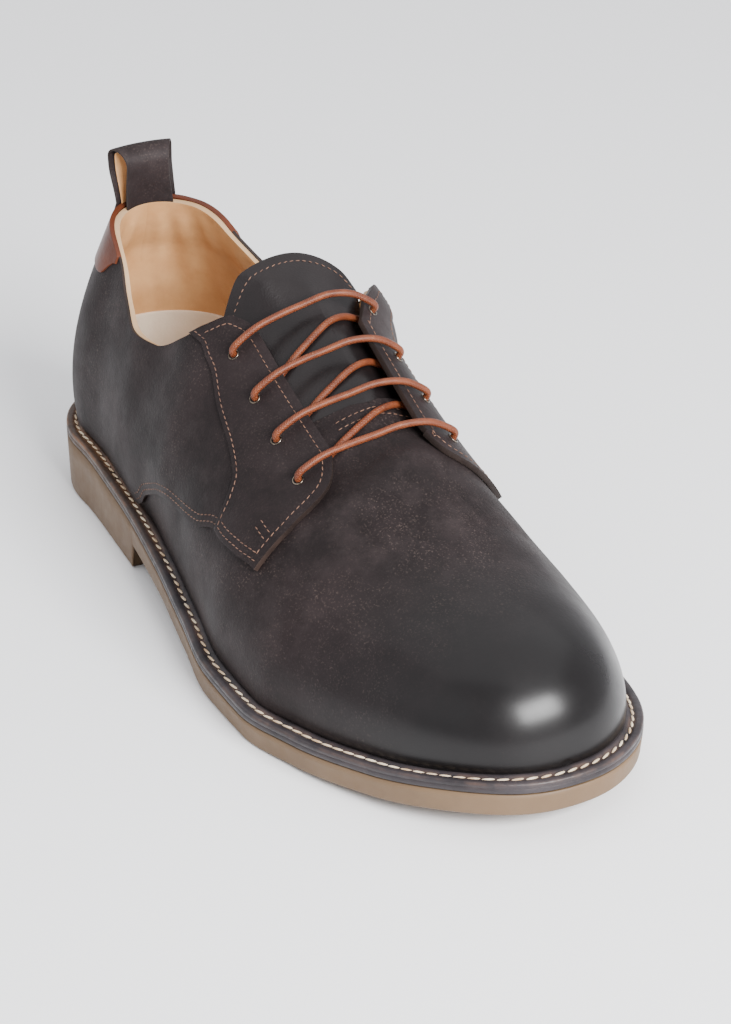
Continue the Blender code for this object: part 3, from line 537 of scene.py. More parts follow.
def nubuckPaint(name, burnish=False, napAmount=0.5, patinaAmount=0.7, roughness=0.55):
    made, tree, shader, place = startPaint(name, roughness, 0.13)
    cloud = patches(tree, place, nubuckSet["cloudSize"], 9, 0.72, 0.38, 0.66)
    colour = blended(tree, cloud, nubuckSet["deep"], nubuckSet["body"])
    worn = patches(tree, place, 55.0, 8, 0.7, 0.50, 0.78, 0.0, patinaAmount * 0.6)
    colour = blended(tree, worn, colour, nubuckSet["patina"])
    speck = patches(tree, place, nubuckSet["napSize"], 2, 0.6, 0.56, 0.76, 0.0, napAmount)
    patch = patches(tree, place, 45.0, 3, 0.6, 0.42, 0.66, 0.15, 1.0)
    speckHere = sums(tree, "MULTIPLY", speck, patch)
    gloss = patches(tree, place, 60.0, 4, 0.6, 0.35, 0.7, roughness - 0.06, roughness + 0.09)
    relax = 1.0
    if burnish:
        # the toe cap's polish: from the tip back, darker and smoother
        polish = ranged(tree, axisOf(tree, place, "X"), 0.066, 0.122)
        uneven = patches(tree, place, 18.0, 4, 0.6, 0.25, 0.6, 0.75, 1.0)
        polish = sums(tree, "MULTIPLY", polish, uneven)
        colour = blended(tree, polish, colour, (0.0035, 0.0028, 0.0030))
        speckHere = sums(tree, "MULTIPLY", speckHere, sums(tree, "SUBTRACT", 1.0, polish))
        gloss = sums(tree, "SUBTRACT", gloss, sums(tree, "MULTIPLY", polish, 0.22))
        tree.links.new(sums(tree, "MULTIPLY", polish, 0.38), shader.inputs["Coat Weight"])
        shader.inputs["Coat Roughness"].default_value = 0.26
        relax = ranged(tree, polish, 0.0, 1.0, 1.0, 0.15)
    colour = blended(tree, speckHere, colour, nubuckSet["nap"])
    tree.links.new(colour, shader.inputs["Base Color"])
    tree.links.new(gloss, shader.inputs["Roughness"])
    shader.inputs["Sheen Weight"].default_value = 0.03
    shader.inputs["Sheen Roughness"].default_value = 0.45
    shader.inputs["Sheen Tint"].default_value = (0.75, 0.68, 0.66, 1)
    grain = sums(tree, "MULTIPLY", noiseOf(tree, place, 900.0, 4, 0.6), relax)
    dents = sums(tree, "MULTIPLY", noiseOf(tree, place, 120.0, 3, 0.5), relax)
    under = bumped(tree, shader, dents, 0.0006, 0.25)
    bumped(tree, shader, grain, 0.00025, 0.45, under)
    return made


def glossPaint(name, colour, light, roughness, creaseSize=260.0, creaseDepth=0.5):
    made, tree, shader, place = startPaint(name, roughness, 0.14)
    cloud = patches(tree, place, 30.0, 4, 0.6, 0.35, 0.7)
    tree.links.new(blended(tree, cloud, colour, light), shader.inputs["Base Color"])
    tree.links.new(
        patches(tree, place, 220.0, 4, 0.6, 0.3, 0.7, roughness - 0.05, roughness + 0.10),
        shader.inputs["Roughness"],
    )
    shader.inputs["Coat Weight"].default_value = 0.28
    shader.inputs["Coat Roughness"].default_value = 0.24
    cracks = noiseOf(tree, place, creaseSize, 5, 0.65, (1.0, 0.22, 1.0))
    under = bumped(tree, shader, cracks, 0.0004, creaseDepth)
    bumped(tree, shader, cellsOf(tree, place, 1500.0), 0.00012, 0.5, under)
    return made


def hidePaint(name, colour, dark, roughness, fine=420.0):
    made, tree, shader, place = startPaint(name, roughness, 0.25)
    cloud = patches(tree, place, 42.0, 5, 0.62, 0.35, 0.68)
    tree.links.new(blended(tree, cloud, dark, colour), shader.inputs["Base Color"])
    under = bumped(tree, shader, noiseOf(tree, place, 70.0, 4, 0.6, (0.5, 0.5, 1.6)), 0.0009, 0.35)
    bumped(tree, shader, noiseOf(tree, place, fine, 4, 0.6), 0.0002, 0.4, under)
    return made


def weltPaint(name):
    made, tree, shader, place = startPaint(name, 0.42, 0.3)
    worn = tree.nodes.new("ShaderNodeAttribute")
    worn.attribute_name = "wear"
    rub = patches(tree, place, 110.0, 6, 0.7, 0.42, 0.62)
    rub = sums(tree, "MULTIPLY", rub, worn.outputs["Fac"])
    heelward = ranged(tree, axisOf(tree, place, "X"), -0.02, -0.10)
    rubHere = sums(tree, "MULTIPLY", rub, ranged(tree, heelward, 0.0, 1.0, 0.18, 0.8))
    cloud = patches(tree, place, 55.0, 5, 0.6, 0.35, 0.7)
    base = blended(tree, cloud, (0.016, 0.013, 0.0145), (0.040, 0.034, 0.038))
    base = blended(tree, heelward, base, (0.042, 0.024, 0.016))
    tree.links.new(blended(tree, rubHere, base, (0.26, 0.125, 0.062)), shader.inputs["Base Color"])
    gloss = patches(tree, place, 300.0, 4, 0.6, 0.3, 0.7, 0.32, 0.52)
    tree.links.new(gloss, shader.inputs["Roughness"])
    under = bumped(tree, shader, noiseOf(tree, place, 500.0, 4, 0.6, (1.0, 1.0, 3.0)), 0.00025, 0.5)
    bumped(tree, shader, noiseOf(tree, place, 90.0, 3, 0.5), 0.0006, 0.3, under)
    return made


def gumPaint(name):
    made, tree, shader, place = startPaint(name, 0.55, 0.3)
    cloud = patches(tree, place, 25.0, 4, 0.6, 0.3, 0.7)
    colour = blended(tree, cloud, (0.118, 0.072, 0.039), (0.155, 0.099, 0.056))
    smudge = patches(tree, place, 75.0, 6, 0.7, 0.56, 0.76, 0.0, 0.35)
    colour = blended(tree, smudge, colour, (0.085, 0.055, 0.034))
    tree.links.new(colour, shader.inputs["Base Color"])
    gloss = patches(tree, place, 160.0, 4, 0.6, 0.3, 0.7, 0.46, 0.62)
    tree.links.new(gloss, shader.inputs["Roughness"])
    bumped(tree, shader, noiseOf(tree, place, 420.0, 4, 0.6), 0.0002, 0.35)
    return made


def threadPaint(name, colour, dark):
    made, tree, shader, place = startPaint(name, 0.6, 0.35)
    cloud = patches(tree, place, 160.0, 4, 0.6, 0.35, 0.65)
    tree.links.new(blended(tree, cloud, dark, colour), shader.inputs["Base Color"])
    bumped(tree, shader, noiseOf(tree, place, 2600.0, 3, 0.6), 0.00015, 0.6)
    return made


def lacePaint(name):
    made, tree, shader, place = startPaint(name, 0.42, 0.25)
    along = tree.nodes.new("ShaderNodeUVMap")
    along.uv_map = "braid"
    plaits = []
    for slant in (1.0, -1.0):
        mapping = tree.nodes.new("ShaderNodeMapping")
        mapping.inputs["Rotation"].default_value = (0.0, 0.0, math.radians(45 * slant))
        tree.links.new(along.outputs["UV"], mapping.inputs["Vector"])
        wave = tree.nodes.new("ShaderNodeTexWave")
        wave.inputs["Scale"].default_value = 420.0
        wave.inputs["Distortion"].default_value = 0.6
        tree.links.new(mapping.outputs["Vector"], wave.inputs["Vector"])
        plaits.append(wave.outputs["Fac"])
    braid = sums(tree, "MAXIMUM", *plaits)
    cloud = patches(tree, place, 220.0, 5, 0.65, 0.35, 0.7)
    colour = blended(tree, cloud, (0.095, 0.019, 0.005), (0.190, 0.047, 0.013))
    rub = patches(tree, place, 900.0, 3, 0.6, 0.60, 0.74, 0.0, 0.45)
    colour = blended(tree, rub, colour, (0.36, 0.15, 0.070))
    # painted shade: the cord's colour darkens in the braid's grooves, where the bump pattern is low
    grooveShade = sums(tree, "MULTIPLY", sums(tree, "SUBTRACT", 1.0, braid), 0.6)
    colour = blended(tree, grooveShade, colour, (0.120, 0.030, 0.014))
    tree.links.new(colour, shader.inputs["Base Color"])
    shader.inputs["Coat Weight"].default_value = 0.25
    shader.inputs["Coat Roughness"].default_value = 0.35
    bumped(tree, shader, braid, 0.00022, 0.7)
    return made


def metalPaint(name):
    made, tree, shader, place = startPaint(name, 0.28, 0.5)
    shader.inputs["Metallic"].default_value = 1.0
    tone = patches(tree, place, 900.0, 3, 0.6, 0.35, 0.65)
    tree.links.new(blended(tree, tone, (0.07, 0.055, 0.042), (0.30, 0.25, 0.20)), shader.inputs["Base Color"])
    bumped(tree, shader, noiseOf(tree, place, 1800.0, 2, 0.5), 0.00005, 0.4)
    return made


vampPaint = nubuckPaint("vampNubuck", burnish=True)
quarterPaint = nubuckPaint("quarterNubuck", napAmount=0.40, patinaAmount=0.85, roughness=0.56)
facingPaint = nubuckPaint("facingNubuck", napAmount=0.22, patinaAmount=0.35, roughness=0.50)
tonguePaint = glossPaint("tongueGloss", (0.0062, 0.0046, 0.0048), (0.0125, 0.0092, 0.0094), 0.34, 200.0, 0.16)
cutPaint = hidePaint("cutEdge", (0.032, 0.020, 0.016), (0.012, 0.008, 0.007), 0.50)
liningPaint = hidePaint("calfLining", (0.620, 0.350, 0.160), (0.470, 0.235, 0.095), 0.45)
rimPaint = hidePaint("liningRim", (0.520, 0.350, 0.205), (0.420, 0.260, 0.135), 0.50)
insolePaint = hidePaint("insoleSuede", (0.800, 0.680, 0.540), (0.700, 0.570, 0.430), 0.75, 900.0)
cognacPaint = hidePaint("cognacCalf", (0.125, 0.032, 0.013), (0.065, 0.016, 0.007), 0.34)
weltFinish = weltPaint("weltLeather")
gumFinish = gumPaint("gumRubber")
creamThread = threadPaint("creamThread", (0.760, 0.640, 0.480), (0.480, 0.330, 0.200))
brownThread = threadPaint("brownThread", (0.185, 0.098, 0.064), (0.085, 0.042, 0.028))
laceFinish = lacePaint("waxedCord")
eyeletFinish = metalPaint("agedBrass")
# near-black finish for the discs inside the eyelets: painted shade of the holes
holePaint = hidePaint("holeShade", (0.008, 0.006, 0.006), (0.004, 0.003, 0.003), 0.8)
print("finishes made")


# outsole: gum rubber with a flat heel, a raised waist and a flat forefoot
outsoleSet = {
    "reach": 0.0055, "draft": 0.0006, "bevel": 0.0012, "bevelSteps": 4, "top": 0.0038, "columns": 150, "rows": 48,
    "grooveDepth": 0.0009, "groovePitch": 0.0075, "grooveBow": 5.0, "grooveMargin": 0.10,
    "grooveFrom": 0.03, "grooveTo": 0.96,
}


def lengthShare(x):
    return min(max(x / last["length"], 0.0), 1.0)


def soleShares(count):
    breast = last["heelLength"] / last["length"]
    past = breast + last["breastDraft"] / last["length"]
    shares = [at for at in roundShares(28, count, 34) if abs(at - breast) > 0.003 and abs(at - past) > 0.002]
    return sorted(shares + [breast, past])


def soleWall(shares, levels):
    forms = []
    for side in (-1, 1):
        def place(i, j, side=side):
            reach, height = levels[j]
            x, y = feather(side, shares[i], reach)
            return Vector((x, y, height(lengthShare(x))))
        forms.append(movedGrid(len(shares) - 1, len(levels) - 1, place))
    return forms


def joinForms(forms):
    whole = bmesh.new()
    for form in forms:
        mesh = bpy.data.meshes.new("part")
        form.to_mesh(mesh)
        form.free()
        whole.from_mesh(mesh)
        bpy.data.meshes.remove(mesh)
    bmesh.ops.remove_doubles(whole, verts=whole.verts, dist=2e-6)
    return whole


def makeOutsole():
    shares = soleShares(outsoleSet["columns"])
    bevel, reach = outsoleSet["bevel"], outsoleSet["reach"]
    foot = reach - outsoleSet["draft"]
    levels = []
    for k in range(outsoleSet["bevelSteps"] + 1):
        turn = math.pi / 2 * k / outsoleSet["bevelSteps"]
        rise = bevel * (1 - math.cos(turn))
        levels.append((foot - bevel * (1 - math.sin(turn)), lambda at, rise=rise: treadHeight(at) + rise))
    for share in (0.35, 0.7):
        def wallHeight(at, share=share):
            return (treadHeight(at) + bevel) * (1 - share) + (featherHeight(at) - outsoleSet["top"]) * share

        levels.append((foot + outsoleSet["draft"] * share, wallHeight))
    levels.append((reach, lambda at: featherHeight(at) - outsoleSet["top"]))
    forms = soleWall(shares, levels)
    rows = outsoleSet["rows"]

    def between(i, j, level, tread):
        reach, height = level
        outerX, outerY = feather(-1, shares[i], reach)
        innerX, innerY = feather(1, shares[i], reach)
        share = j / rows
        x, y = outerX + (innerX - outerX) * share, outerY + (innerY - outerY) * share
        z = height(lengthShare(x))
        margin = outsoleSet["grooveMargin"]
        if tread and margin < share < 1 - margin and outsoleSet["grooveFrom"] < shares[i] < outsoleSet["grooveTo"]:
            wave = math.sin(x / outsoleSet["groovePitch"] * math.pi + abs(share - 0.5) * outsoleSet["grooveBow"])
            z += outsoleSet["grooveDepth"] * eased(wave, 0.35, 0.75)
        return Vector((x, y, z))

    forms.append(movedGrid(len(shares) - 1, rows, lambda i, j: between(i, j, levels[0], True)))
    forms.append(movedGrid(len(shares) - 1, rows, lambda i, j: between(i, j, levels[-1], False)))
    whole = joinForms(forms)
    bmesh.ops.recalc_face_normals(whole, faces=whole.faces)
    finishPiece("soleUnit", whole, [gumFinish], "gum_rubber", ["outsole"])


makeOutsole()


# the outer and the inner half of a piece as one sheet
def bothSides(columns, rows, spot, creased=True, inwards=False):
    forms = []
    for side in (-1, 1):
        form = skinSheet(columns, rows, lambda i, j: spot(side, i, j), creased)
        if inwards:
            bmesh.ops.reverse_faces(form, faces=form.faces)
        forms.append(form)
    return joinForms(forms)


# welt band: the stitched welt and the midsole below it as one dark edge. reach and drop in millimetres
weltProfile = table(
    "reach drop wear",
    (-2.6, 3.50, 0.0), (-2.6, 0.30, 0.0), (-0.5, 0.00, 0.0), (0.7, 0.00, 0.3), (1.1, 0.30, 0.9), (1.7, 0.50, 1.0),
    (2.4, 0.50, 1.0), (2.9, 0.28, 0.9), (3.2, 0.02, 0.5), (3.9, -0.06, 0.15), (4.7, -0.02, 0.15), (5.1, 0.12, 0.6),
    (5.4, 0.42, 0.8), (5.5, 0.85, 0.3), (5.5, 1.45, 0.1), (5.34, 1.62, 0.3), (5.34, 1.72, 0.3), (5.5, 1.90, 0.1),
    (5.55, 2.7, 0.05), (5.5, 3.25, 0.2), (5.2, 3.50, 0.1), (-2.6, 3.50, 0.0),
)


def makeWelt():
    shares = roundShares(30, 160, 40)
    forms = []
    for side in (-1, 1):
        def place(i, j, side=side):
            row = weltProfile[j]
            x, y = feather(side, shares[i], row["reach"] / 1000)
            return Vector((x, y, featherHeight(lengthShare(x)) - row["drop"] / 1000))

        form = bmesh.new()
        columns, rows = len(shares) - 1, len(weltProfile) - 1
        bmesh.ops.create_grid(form, x_segments=columns, y_segments=rows, size=0.5)
        wear = form.verts.layers.float.new("wear")
        for corner in form.verts:
            i = round((corner.co.x + 0.5) * columns)
            j = round((corner.co.y + 0.5) * rows)
            corner[wear] = weltProfile[j]["wear"]
            corner.co = place(i, j)
        forms.append(form)
    whole = joinForms(forms)
    bmesh.ops.recalc_face_normals(whole, faces=whole.faces)
    finishPiece("weltBand", whole, [weltFinish], "edge_leather", ["welt", "midsole"])


makeWelt()


# stitches: small drawn-out beads of thread laid along a trail of points and outward directions
def sewTrail(form, trail, length, gap, radius, slant=0.0, sink=0.0, squeeze=0.75):
    walked, nextStart = 0.0, 0.0
    for (a, outA), (b, outB) in zip(trail, trail[1:]):
        run = (b - a).length
        while run > 1e-9 and nextStart + length / 2 <= walked + run:
            share = max((nextStart + length / 2 - walked) / run, 0.0)
            centre = a.lerp(b, min(share, 1.0))
            up = outA.lerp(outB, min(share, 1.0)).normalized()
            along = (b - a).normalized()
            along = (along - up * along.dot(up)).normalized()
            across = up.cross(along)
            turned = along * math.cos(slant) + across * math.sin(slant)
            wobble = 1 + 0.08 * (random.random() - 0.5)
            axes = (up.cross(turned) * radius, up * radius * squeeze, turned * length / 2 * wobble)
            frameOf = Matrix(axes).transposed().to_4x4()
            frameOf.translation = centre + up * (radius * squeeze * 0.5 - sink)
            bmesh.ops.create_uvsphere(form, u_segments=6, v_segments=5, radius=1.0, matrix=frameOf)
            nextStart += length + gap
        walked += run


weltStitchSet = {
    "length": 0.0040, "gap": 0.0003, "radius": 0.00050, "reach": 0.0021, "lift": -0.00050, "slant": 0.20,
}


def makeWeltStitches():
    shares = roundShares(60, 400, 90)
    trail = []
    for side, run in ((-1, shares[:-1]), (1, list(reversed(shares))[1:])):
        for at in run:
            x, y = feather(side, at, weltStitchSet["reach"])
            trail.append((Vector((x, y, featherHeight(at) + weltStitchSet["lift"])), Vector((0, 0, 1))))
    form = bmesh.new()
    values = [weltStitchSet[key] for key in ("length", "gap", "radius", "slant")]
    sewTrail(form, trail, *values)
    finishPiece("weltStitches", form, [creamThread], "insole_lining")


makeWeltStitches()
print("sole done")


# vamp: one sheet over the toe; between the facings it dips to the tongue
vampSet = {
    "start": 0.25, "back": 0.546, "nearBack": (0.538, 0.542), "sideSteps": 110, "toeSteps": 44, "rows": 76,
    "dipDepth": 0.0043, "dipFrom": 1.15, "dipTo": 2.3, "dipStart": 0.582, "dipLean": 0.016, "dipLength": 0.066,
    "wall": 0.0012,
}
vampTop = table(
    "at t",
    (0.250, 0.10), (0.300, 0.13), (0.336, 0.24), (0.391, 0.32), (0.447, 0.38), (0.500, 0.46), (0.535, 0.74),
    (0.546, 1.00),
)


def vampDip(side, at, t):
    spot = rib(side, at, t)
    off = (spot.y - last["throatSide"]) / (last["facingGap"] / 2)
    sideways = 1 - eased(abs(off), vampSet["dipFrom"], vampSet["dipTo"])
    start = vampSet["dipStart"] + vampSet["dipLean"] * min(max(-off, -1.0), 1.0)
    forward = 1 - eased(at, start, start + vampSet["dipLength"])
    return -vampSet["dipDepth"] * sideways * forward


def makeVamp():
    start, steps = vampSet["start"], vampSet["sideSteps"]
    shares = [start + (last["toeTurn"] - start) * k / steps for k in range(steps)]
    shares = [at for at in shares if abs(at - vampSet["back"]) > 0.002]
    shares = sorted({*shares, *vampSet["nearBack"], vampSet["back"]}) + toeShares(vampSet["toeSteps"])

    def spot(side, i, j):
        at = shares[i]
        t = smooth(vampTop, "t", at) * j / vampSet["rows"]
        return side, at, t, vampDip(side, at, t)

    whole = bothSides(len(shares) - 1, vampSet["rows"], spot)
    finishPiece("vamp", whole, [vampPaint, cutPaint], "dark_leather", ["upper"], vampSet["wall"])


makeVamp()


# quarters, facings and heel tab: panels laid on the last, edges as shares of the way up to the facing's edge
facingLower = table(
    "at t",
    (0.345, 1.00), (0.370, 0.89), (0.395, 0.80), (0.452, 0.70), (0.494, 0.67), (0.525, 0.63), (0.538, 0.56),
    (0.546, 0.44), (0.600, 0.475), (0.640, 0.505),
)
facingUpper = table(
    "at t",
    (0.590, 1.00), (0.612, 0.97), (0.624, 0.94), (0.632, 0.90), (0.637, 0.83), (0.640, 0.72),
)
quarterLower = table(
    "at t",
    (0.010, 0.02), (0.300, 0.02), (0.318, 0.06), (0.336, 0.14), (0.391, 0.22), (0.447, 0.28), (0.500, 0.345),
    (0.546, 0.43),
)
tabEdge = table("at t", (0.000, 0.79), (0.050, 0.79), (0.085, 0.80), (0.103, 0.82), (0.118, 0.91), (0.130, 0.96))


seams = {}


# the seam between quarter and facing, as a plain t
def seamShare(side, at):
    if side not in seams:
        seams[side] = [{"at": row["at"], "t": row["t"] * facingTop(side, row["at"])} for row in facingLower]
    return smooth(seams[side], "t", at)


def facingTop(side, at):
    return topShare(side, at) if at < last["throatFrom"] else gapShare(side, at)


quarterSet = {
    "start": 0.0012, "lift": 0.0014, "wall": 0.00105, "soft": 0.0004, "rows": 64, "columns": 170,
    "underTab": 0.07, "tabFrom": 0.112, "tabTo": 0.126,
}
facingSet = {"lift": 0.0022, "wall": 0.0019, "soft": 0.0006, "rows": 44, "columns": 120}
tabSet = {"lift": 0.0021, "wall": 0.0018, "soft": 0.0005, "rows": 18, "columns": 44}
words = {-1: "lateral", 1: "medial"}


def makeQuarter(side):
    shares = span(quarterSet["start"], quarterLower[-1]["at"], quarterSet["columns"])

    def spot(i, j):
        at = shares[i]
        edge = facingTop(side, at)
        low = smooth(quarterLower, "t", at) * edge
        if at < facingLower[0]["at"]:
            high = edge * (1 - quarterSet["underTab"] * (1 - eased(at, quarterSet["tabFrom"], quarterSet["tabTo"])))
        else:
            high = max(low + 0.001, seamShare(side, at) - 0.001)
        return side, at, low + (high - low) * j / quarterSet["rows"], quarterSet["lift"]

    form = skinSheet(quarterSet["columns"], quarterSet["rows"], spot)
    name, nodes = "quarterPanel_" + words[side], ["quarter_" + words[side]]
    paints = [quarterPaint, cutPaint]
    finishPiece(name, form, paints, "dark_leather", nodes, quarterSet["wall"], quarterSet["soft"])


def makeFacing(side):
    start, end = facingLower[0]["at"], facingLower[-1]["at"]
    columns = facingSet["columns"]
    shares = [start + (end - start) * math.sin(math.pi / 2 * k / columns) for k in range(columns + 1)]

    def spot(i, j):
        at = shares[i]
        edge = facingTop(side, at)
        low, high = seamShare(side, at), smooth(facingUpper, "t", at) * edge
        return side, at, low + max(high - low, 0.0005) * j / facingSet["rows"], facingSet["lift"]

    form = skinSheet(columns, facingSet["rows"], spot)
    name, nodes = "facing_" + words[side], ["eyestay_" + words[side]]
    paints = [facingPaint, cutPaint]
    finishPiece(name, form, paints, "dark_leather", nodes, facingSet["wall"], facingSet["soft"])


def makeHeelTab():
    shares = span(0.0, tabEdge[-1]["at"], tabSet["columns"])

    def spot(side, i, j):
        at = shares[i]
        low = smooth(tabEdge, "t", at)
        return side, at, (low + (1 - low) * j / tabSet["rows"]) * topShare(side, at), tabSet["lift"]

    whole = bothSides(tabSet["columns"], tabSet["rows"], spot)
    finishPiece("heelTab", whole, [cognacPaint], "cognac_leather", ["heel_tab"], tabSet["wall"], tabSet["soft"])


for side in (-1, 1):
    makeQuarter(side)
    makeFacing(side)
makeHeelTab()
print("panels done")


# lining: the calf lining that shows at the collar, and the facings' own backing
liningSet = {
    "end": 0.41, "wall": 0.0022, "heelSteps": 30, "sideSteps": 70, "rows": 70,
    "soft": 0.0008, "depth": 0.0018, "lowDepth": 0.0037, "pad": 0.0011, "padFoot": 0.74,
}
liningFolds = table(
    "side at size width",
    (-1, 0.020, 0.0010, 0.0022), (-1, 0.052, 0.0008, 0.0026), (1, 0.012, 0.0010, 0.0022),
    (1, 0.040, 0.0009, 0.0026), (1, 0.075, 0.0006, 0.0030), (1, 0.150, -0.0005, 0.0030),
)


# how far inside the last's face the lining lies: deeper below, and padded near the collar
def liningDepth(side, at, up):
    low = liningSet["lowDepth"] + (liningSet["depth"] - liningSet["lowDepth"]) * eased(up, 0.45, 0.75)
    padShare = min(max((up - liningSet["padFoot"]) / (1 - liningSet["padFoot"]), 0), 1)
    pad = liningSet["pad"] * math.sin(math.pi * padShare)
    pucker = 0.0
    for fold in liningFolds:
        if fold["side"] == side:
            far = (at - fold["at"] - 0.02 * (1 - up)) * last["length"] / fold["width"]
            pucker += fold["size"] * math.exp(-far * far)
    return low + pad + pucker * eased(up, 0.35, 0.6) * (1 - eased(up, 0.90, 1.0))


def makeLining():
    shares = span(0.0, last["heelCentre"], liningSet["heelSteps"])[:-1]
    shares += span(last["heelCentre"], liningSet["end"], liningSet["sideSteps"])

    def spot(side, i, j):
        at = shares[i]
        up = j / liningSet["rows"]
        return side, at, topShare(side, at) * up, -liningDepth(side, at, up)

    paints = [liningPaint, rimPaint]
    whole = bothSides(len(shares) - 1, liningSet["rows"], spot, creased=False, inwards=True)
    finishPiece("collarLining", whole, paints, "insole_lining", ["upper"], liningSet["wall"], liningSet["soft"])


backingSet = {
    "start": 0.41, "end": 0.640, "lift": -0.0001, "wall": 0.0009, "soft": 0.0003, "columns": 60, "rows": 40,
    "foot": 0.05, "inset": 0.965,
}


def makeBacking(side):
    start, end, foot = backingSet["start"], backingSet["end"], backingSet["foot"]

    def spot(i, j):
        at = start + (end - start) * i / backingSet["columns"]
        high = smooth(facingUpper, "t", at) * backingSet["inset"]
        up = foot + (1 - foot) * j / backingSet["rows"]
        return side, at, facingTop(side, at) * high * up, backingSet["lift"]

    form = skinSheet(backingSet["columns"], backingSet["rows"], spot)
    name = "facingBacking_" + words[side]
    finishPiece(name, form, [cutPaint], "dark_leather", ["upper"], backingSet["wall"], backingSet["soft"])


makeLining()
for side in (-1, 1):
    makeBacking(side)


# insole: suede board with a slightly raised rim
insoleSet = {"inset": 0.0024, "top": 0.0033, "dish": 0.00054, "rows": 36, "wall": 0.0028}


def makeInsole():
    shares = roundShares(18, 90, 24)[1:-1]

    def place(i, j):
        outerX, outerY = feather(-1, shares[i], -insoleSet["inset"])
        innerX, innerY = feather(1, shares[i], -insoleSet["inset"])
        share = j / insoleSet["rows"]
        x = outerX + (innerX - outerX) * share
        y = outerY + (innerY - outerY) * share
        dish = insoleSet["dish"] * (1 - (2 * share - 1) ** 2)
        return Vector((x, y, featherHeight(lengthShare(x)) + insoleSet["top"] - dish))

    form = movedGrid(len(shares) - 1, insoleSet["rows"], place)
    if sum(face.normal.z for face in form.faces) < 0:
        bmesh.ops.reverse_faces(form, faces=form.faces)
    finishPiece("insoleBoard", form, [insolePaint], "insole_lining", ["insole"], wall=insoleSet["wall"])


makeInsole()


# the suede that stands up round the heel
cupSet = {
    "end": 0.42, "foot": 0.01, "depth": 0.0044, "wall": 0.0008, "soft": 0.0003, "heelSteps": 24, "sideSteps": 60,
    "rows": 20,
}
cupTop = table("at t", (0.00, 0.26), (0.10, 0.25), (0.20, 0.21), (0.32, 0.12), (0.42, 0.03))


def makeFootbedCup():
    shares = [at for at in roundShares(cupSet["heelSteps"], cupSet["sideSteps"], 1) if at <= cupSet["end"]]
    rows, foot = cupSet["rows"], cupSet["foot"]

    def spot(side, i, j):
        at = shares[i]
        return side, at, foot + (smooth(cupTop, "t", at) - foot) * j / rows, -cupSet["depth"]

    whole = bothSides(len(shares) - 1, rows, spot, creased=False, inwards=True)
    finishPiece("footbedCup", whole, [insolePaint], "insole_lining", ["insole"], cupSet["wall"], cupSet["soft"])


makeFootbedCup()


# tongue: smooth glossy leather under the lace, with a rounded top
tongueSet = {
    "top": 0.360, "foot": 0.600, "free": 0.420, "depth": 0.0041, "edgeDepth": 0.0024, "margin": 0.012,
    "outerSpread": 0.0120, "innerSpread": 0.0040, "corner": 0.0075,
    "sinkFrom": 0.515, "sinkTo": 0.542, "sink": 0.0010,
    "wall": 0.0021, "soft": 0.0006, "columns": 84, "rows": 64,
    "archHeight": 0.1103, "archFall": 0.192, "archSide": 0.0073, "archCurve": 13.6,
    "archFrom": 0.378, "archTo": 0.425,
}


# above the facings the tongue stands off the last as a wide low arch
def freeRise(point, at, cover):
    arch = tongueSet["archHeight"] - tongueSet["archFall"] * (at - tongueSet["top"])
    arch -= tongueSet["archCurve"] * (point.y - tongueSet["archSide"]) ** 2
    free = 1 - eased(at, tongueSet["archFrom"], tongueSet["archTo"])
    return point + Vector((0, 0, (arch - point.z) * free * cover))


def archPoint(at, y, lift):
    # between the crown's two edges the arch closes as a low cap
    a, b = rib(-1, at, 1.0), rib(1, at, 1.0)
    if b.y - a.y > 1e-4 and a.y < y < b.y:
        share = (y - a.y) / (b.y - a.y)
        up = acrossSkin(-1, at, 1.0).lerp(acrossSkin(1, at, 1.0), share).normalized()
        brow = math.radians(smooth(ribs, "brow", at))
        cap = (b.y - a.y) * math.tan(brow) / 4 * (1 - (2 * share - 1) ** 2)
        return freeRise(a.lerp(b, share) + Vector((0, 0, cap)) + up * lift, at, 1.0), up
    side = 1 if y > (a.y + b.y) / 2 else -1
    t = shareWhere(side, at, last["flank"], 1.0, lambda p: p.y * side <= y * side)
    out = outward(side, at, t)
    edge = topShare(side, at) if at < last["throatFrom"] else 1.0
    return freeRise(rib(side, at, t) + out * lift, at, eased(t, edge - 0.01, edge + 0.13)), out


def tongueSpot(share, across, lift=0.0):
    top = tongueSet["top"] + tongueSet["corner"] / last["length"] * abs(across) ** 4
    at = top + (tongueSet["foot"] - top) * share
    free = min(max((tongueSet["free"] - at) / (tongueSet["free"] - tongueSet["top"]), 0.0), 1.0)
    spread = tongueSet["outerSpread" if across < 0 else "innerSpread"] * free
    half = last["facingGap"] / 2 + tongueSet["margin"] + spread
    depth = tongueSet["depth"] + (tongueSet["edgeDepth"] - tongueSet["depth"]) * free * across**4
    depth += tongueSet["sink"] * eased(at, tongueSet["sinkFrom"], tongueSet["sinkTo"])
    return archPoint(at, last["throatSide"] + half * across, lift - depth)


def makeTongue():
    columns, rows = tongueSet["columns"], tongueSet["rows"]
    form = movedGrid(columns, rows, lambda i, j: tongueSpot(i / columns, 2 * j / rows - 1)[0])
    if sum(face.normal.z for face in form.faces) < 0:
        bmesh.ops.reverse_faces(form, faces=form.faces)
    paints = [tonguePaint, cutPaint]
    finishPiece("tongueLeather", form, paints, "tongue_leather", ["tongue"], tongueSet["wall"], tongueSet["soft"])


makeTongue()
print("lining, insole and tongue done")


# eyelets: small aged rings, each round a near-black disc of painted shade where the hole would be
eyeletSet = {
    "count": 4, "first": 0.420, "last": 0.600, "inset": 0.0105, "spread": 0.0030, "innerForward": 0.0030,
    "ring": 0.0017, "wire": 0.00024, "hole": 0.0016,
}


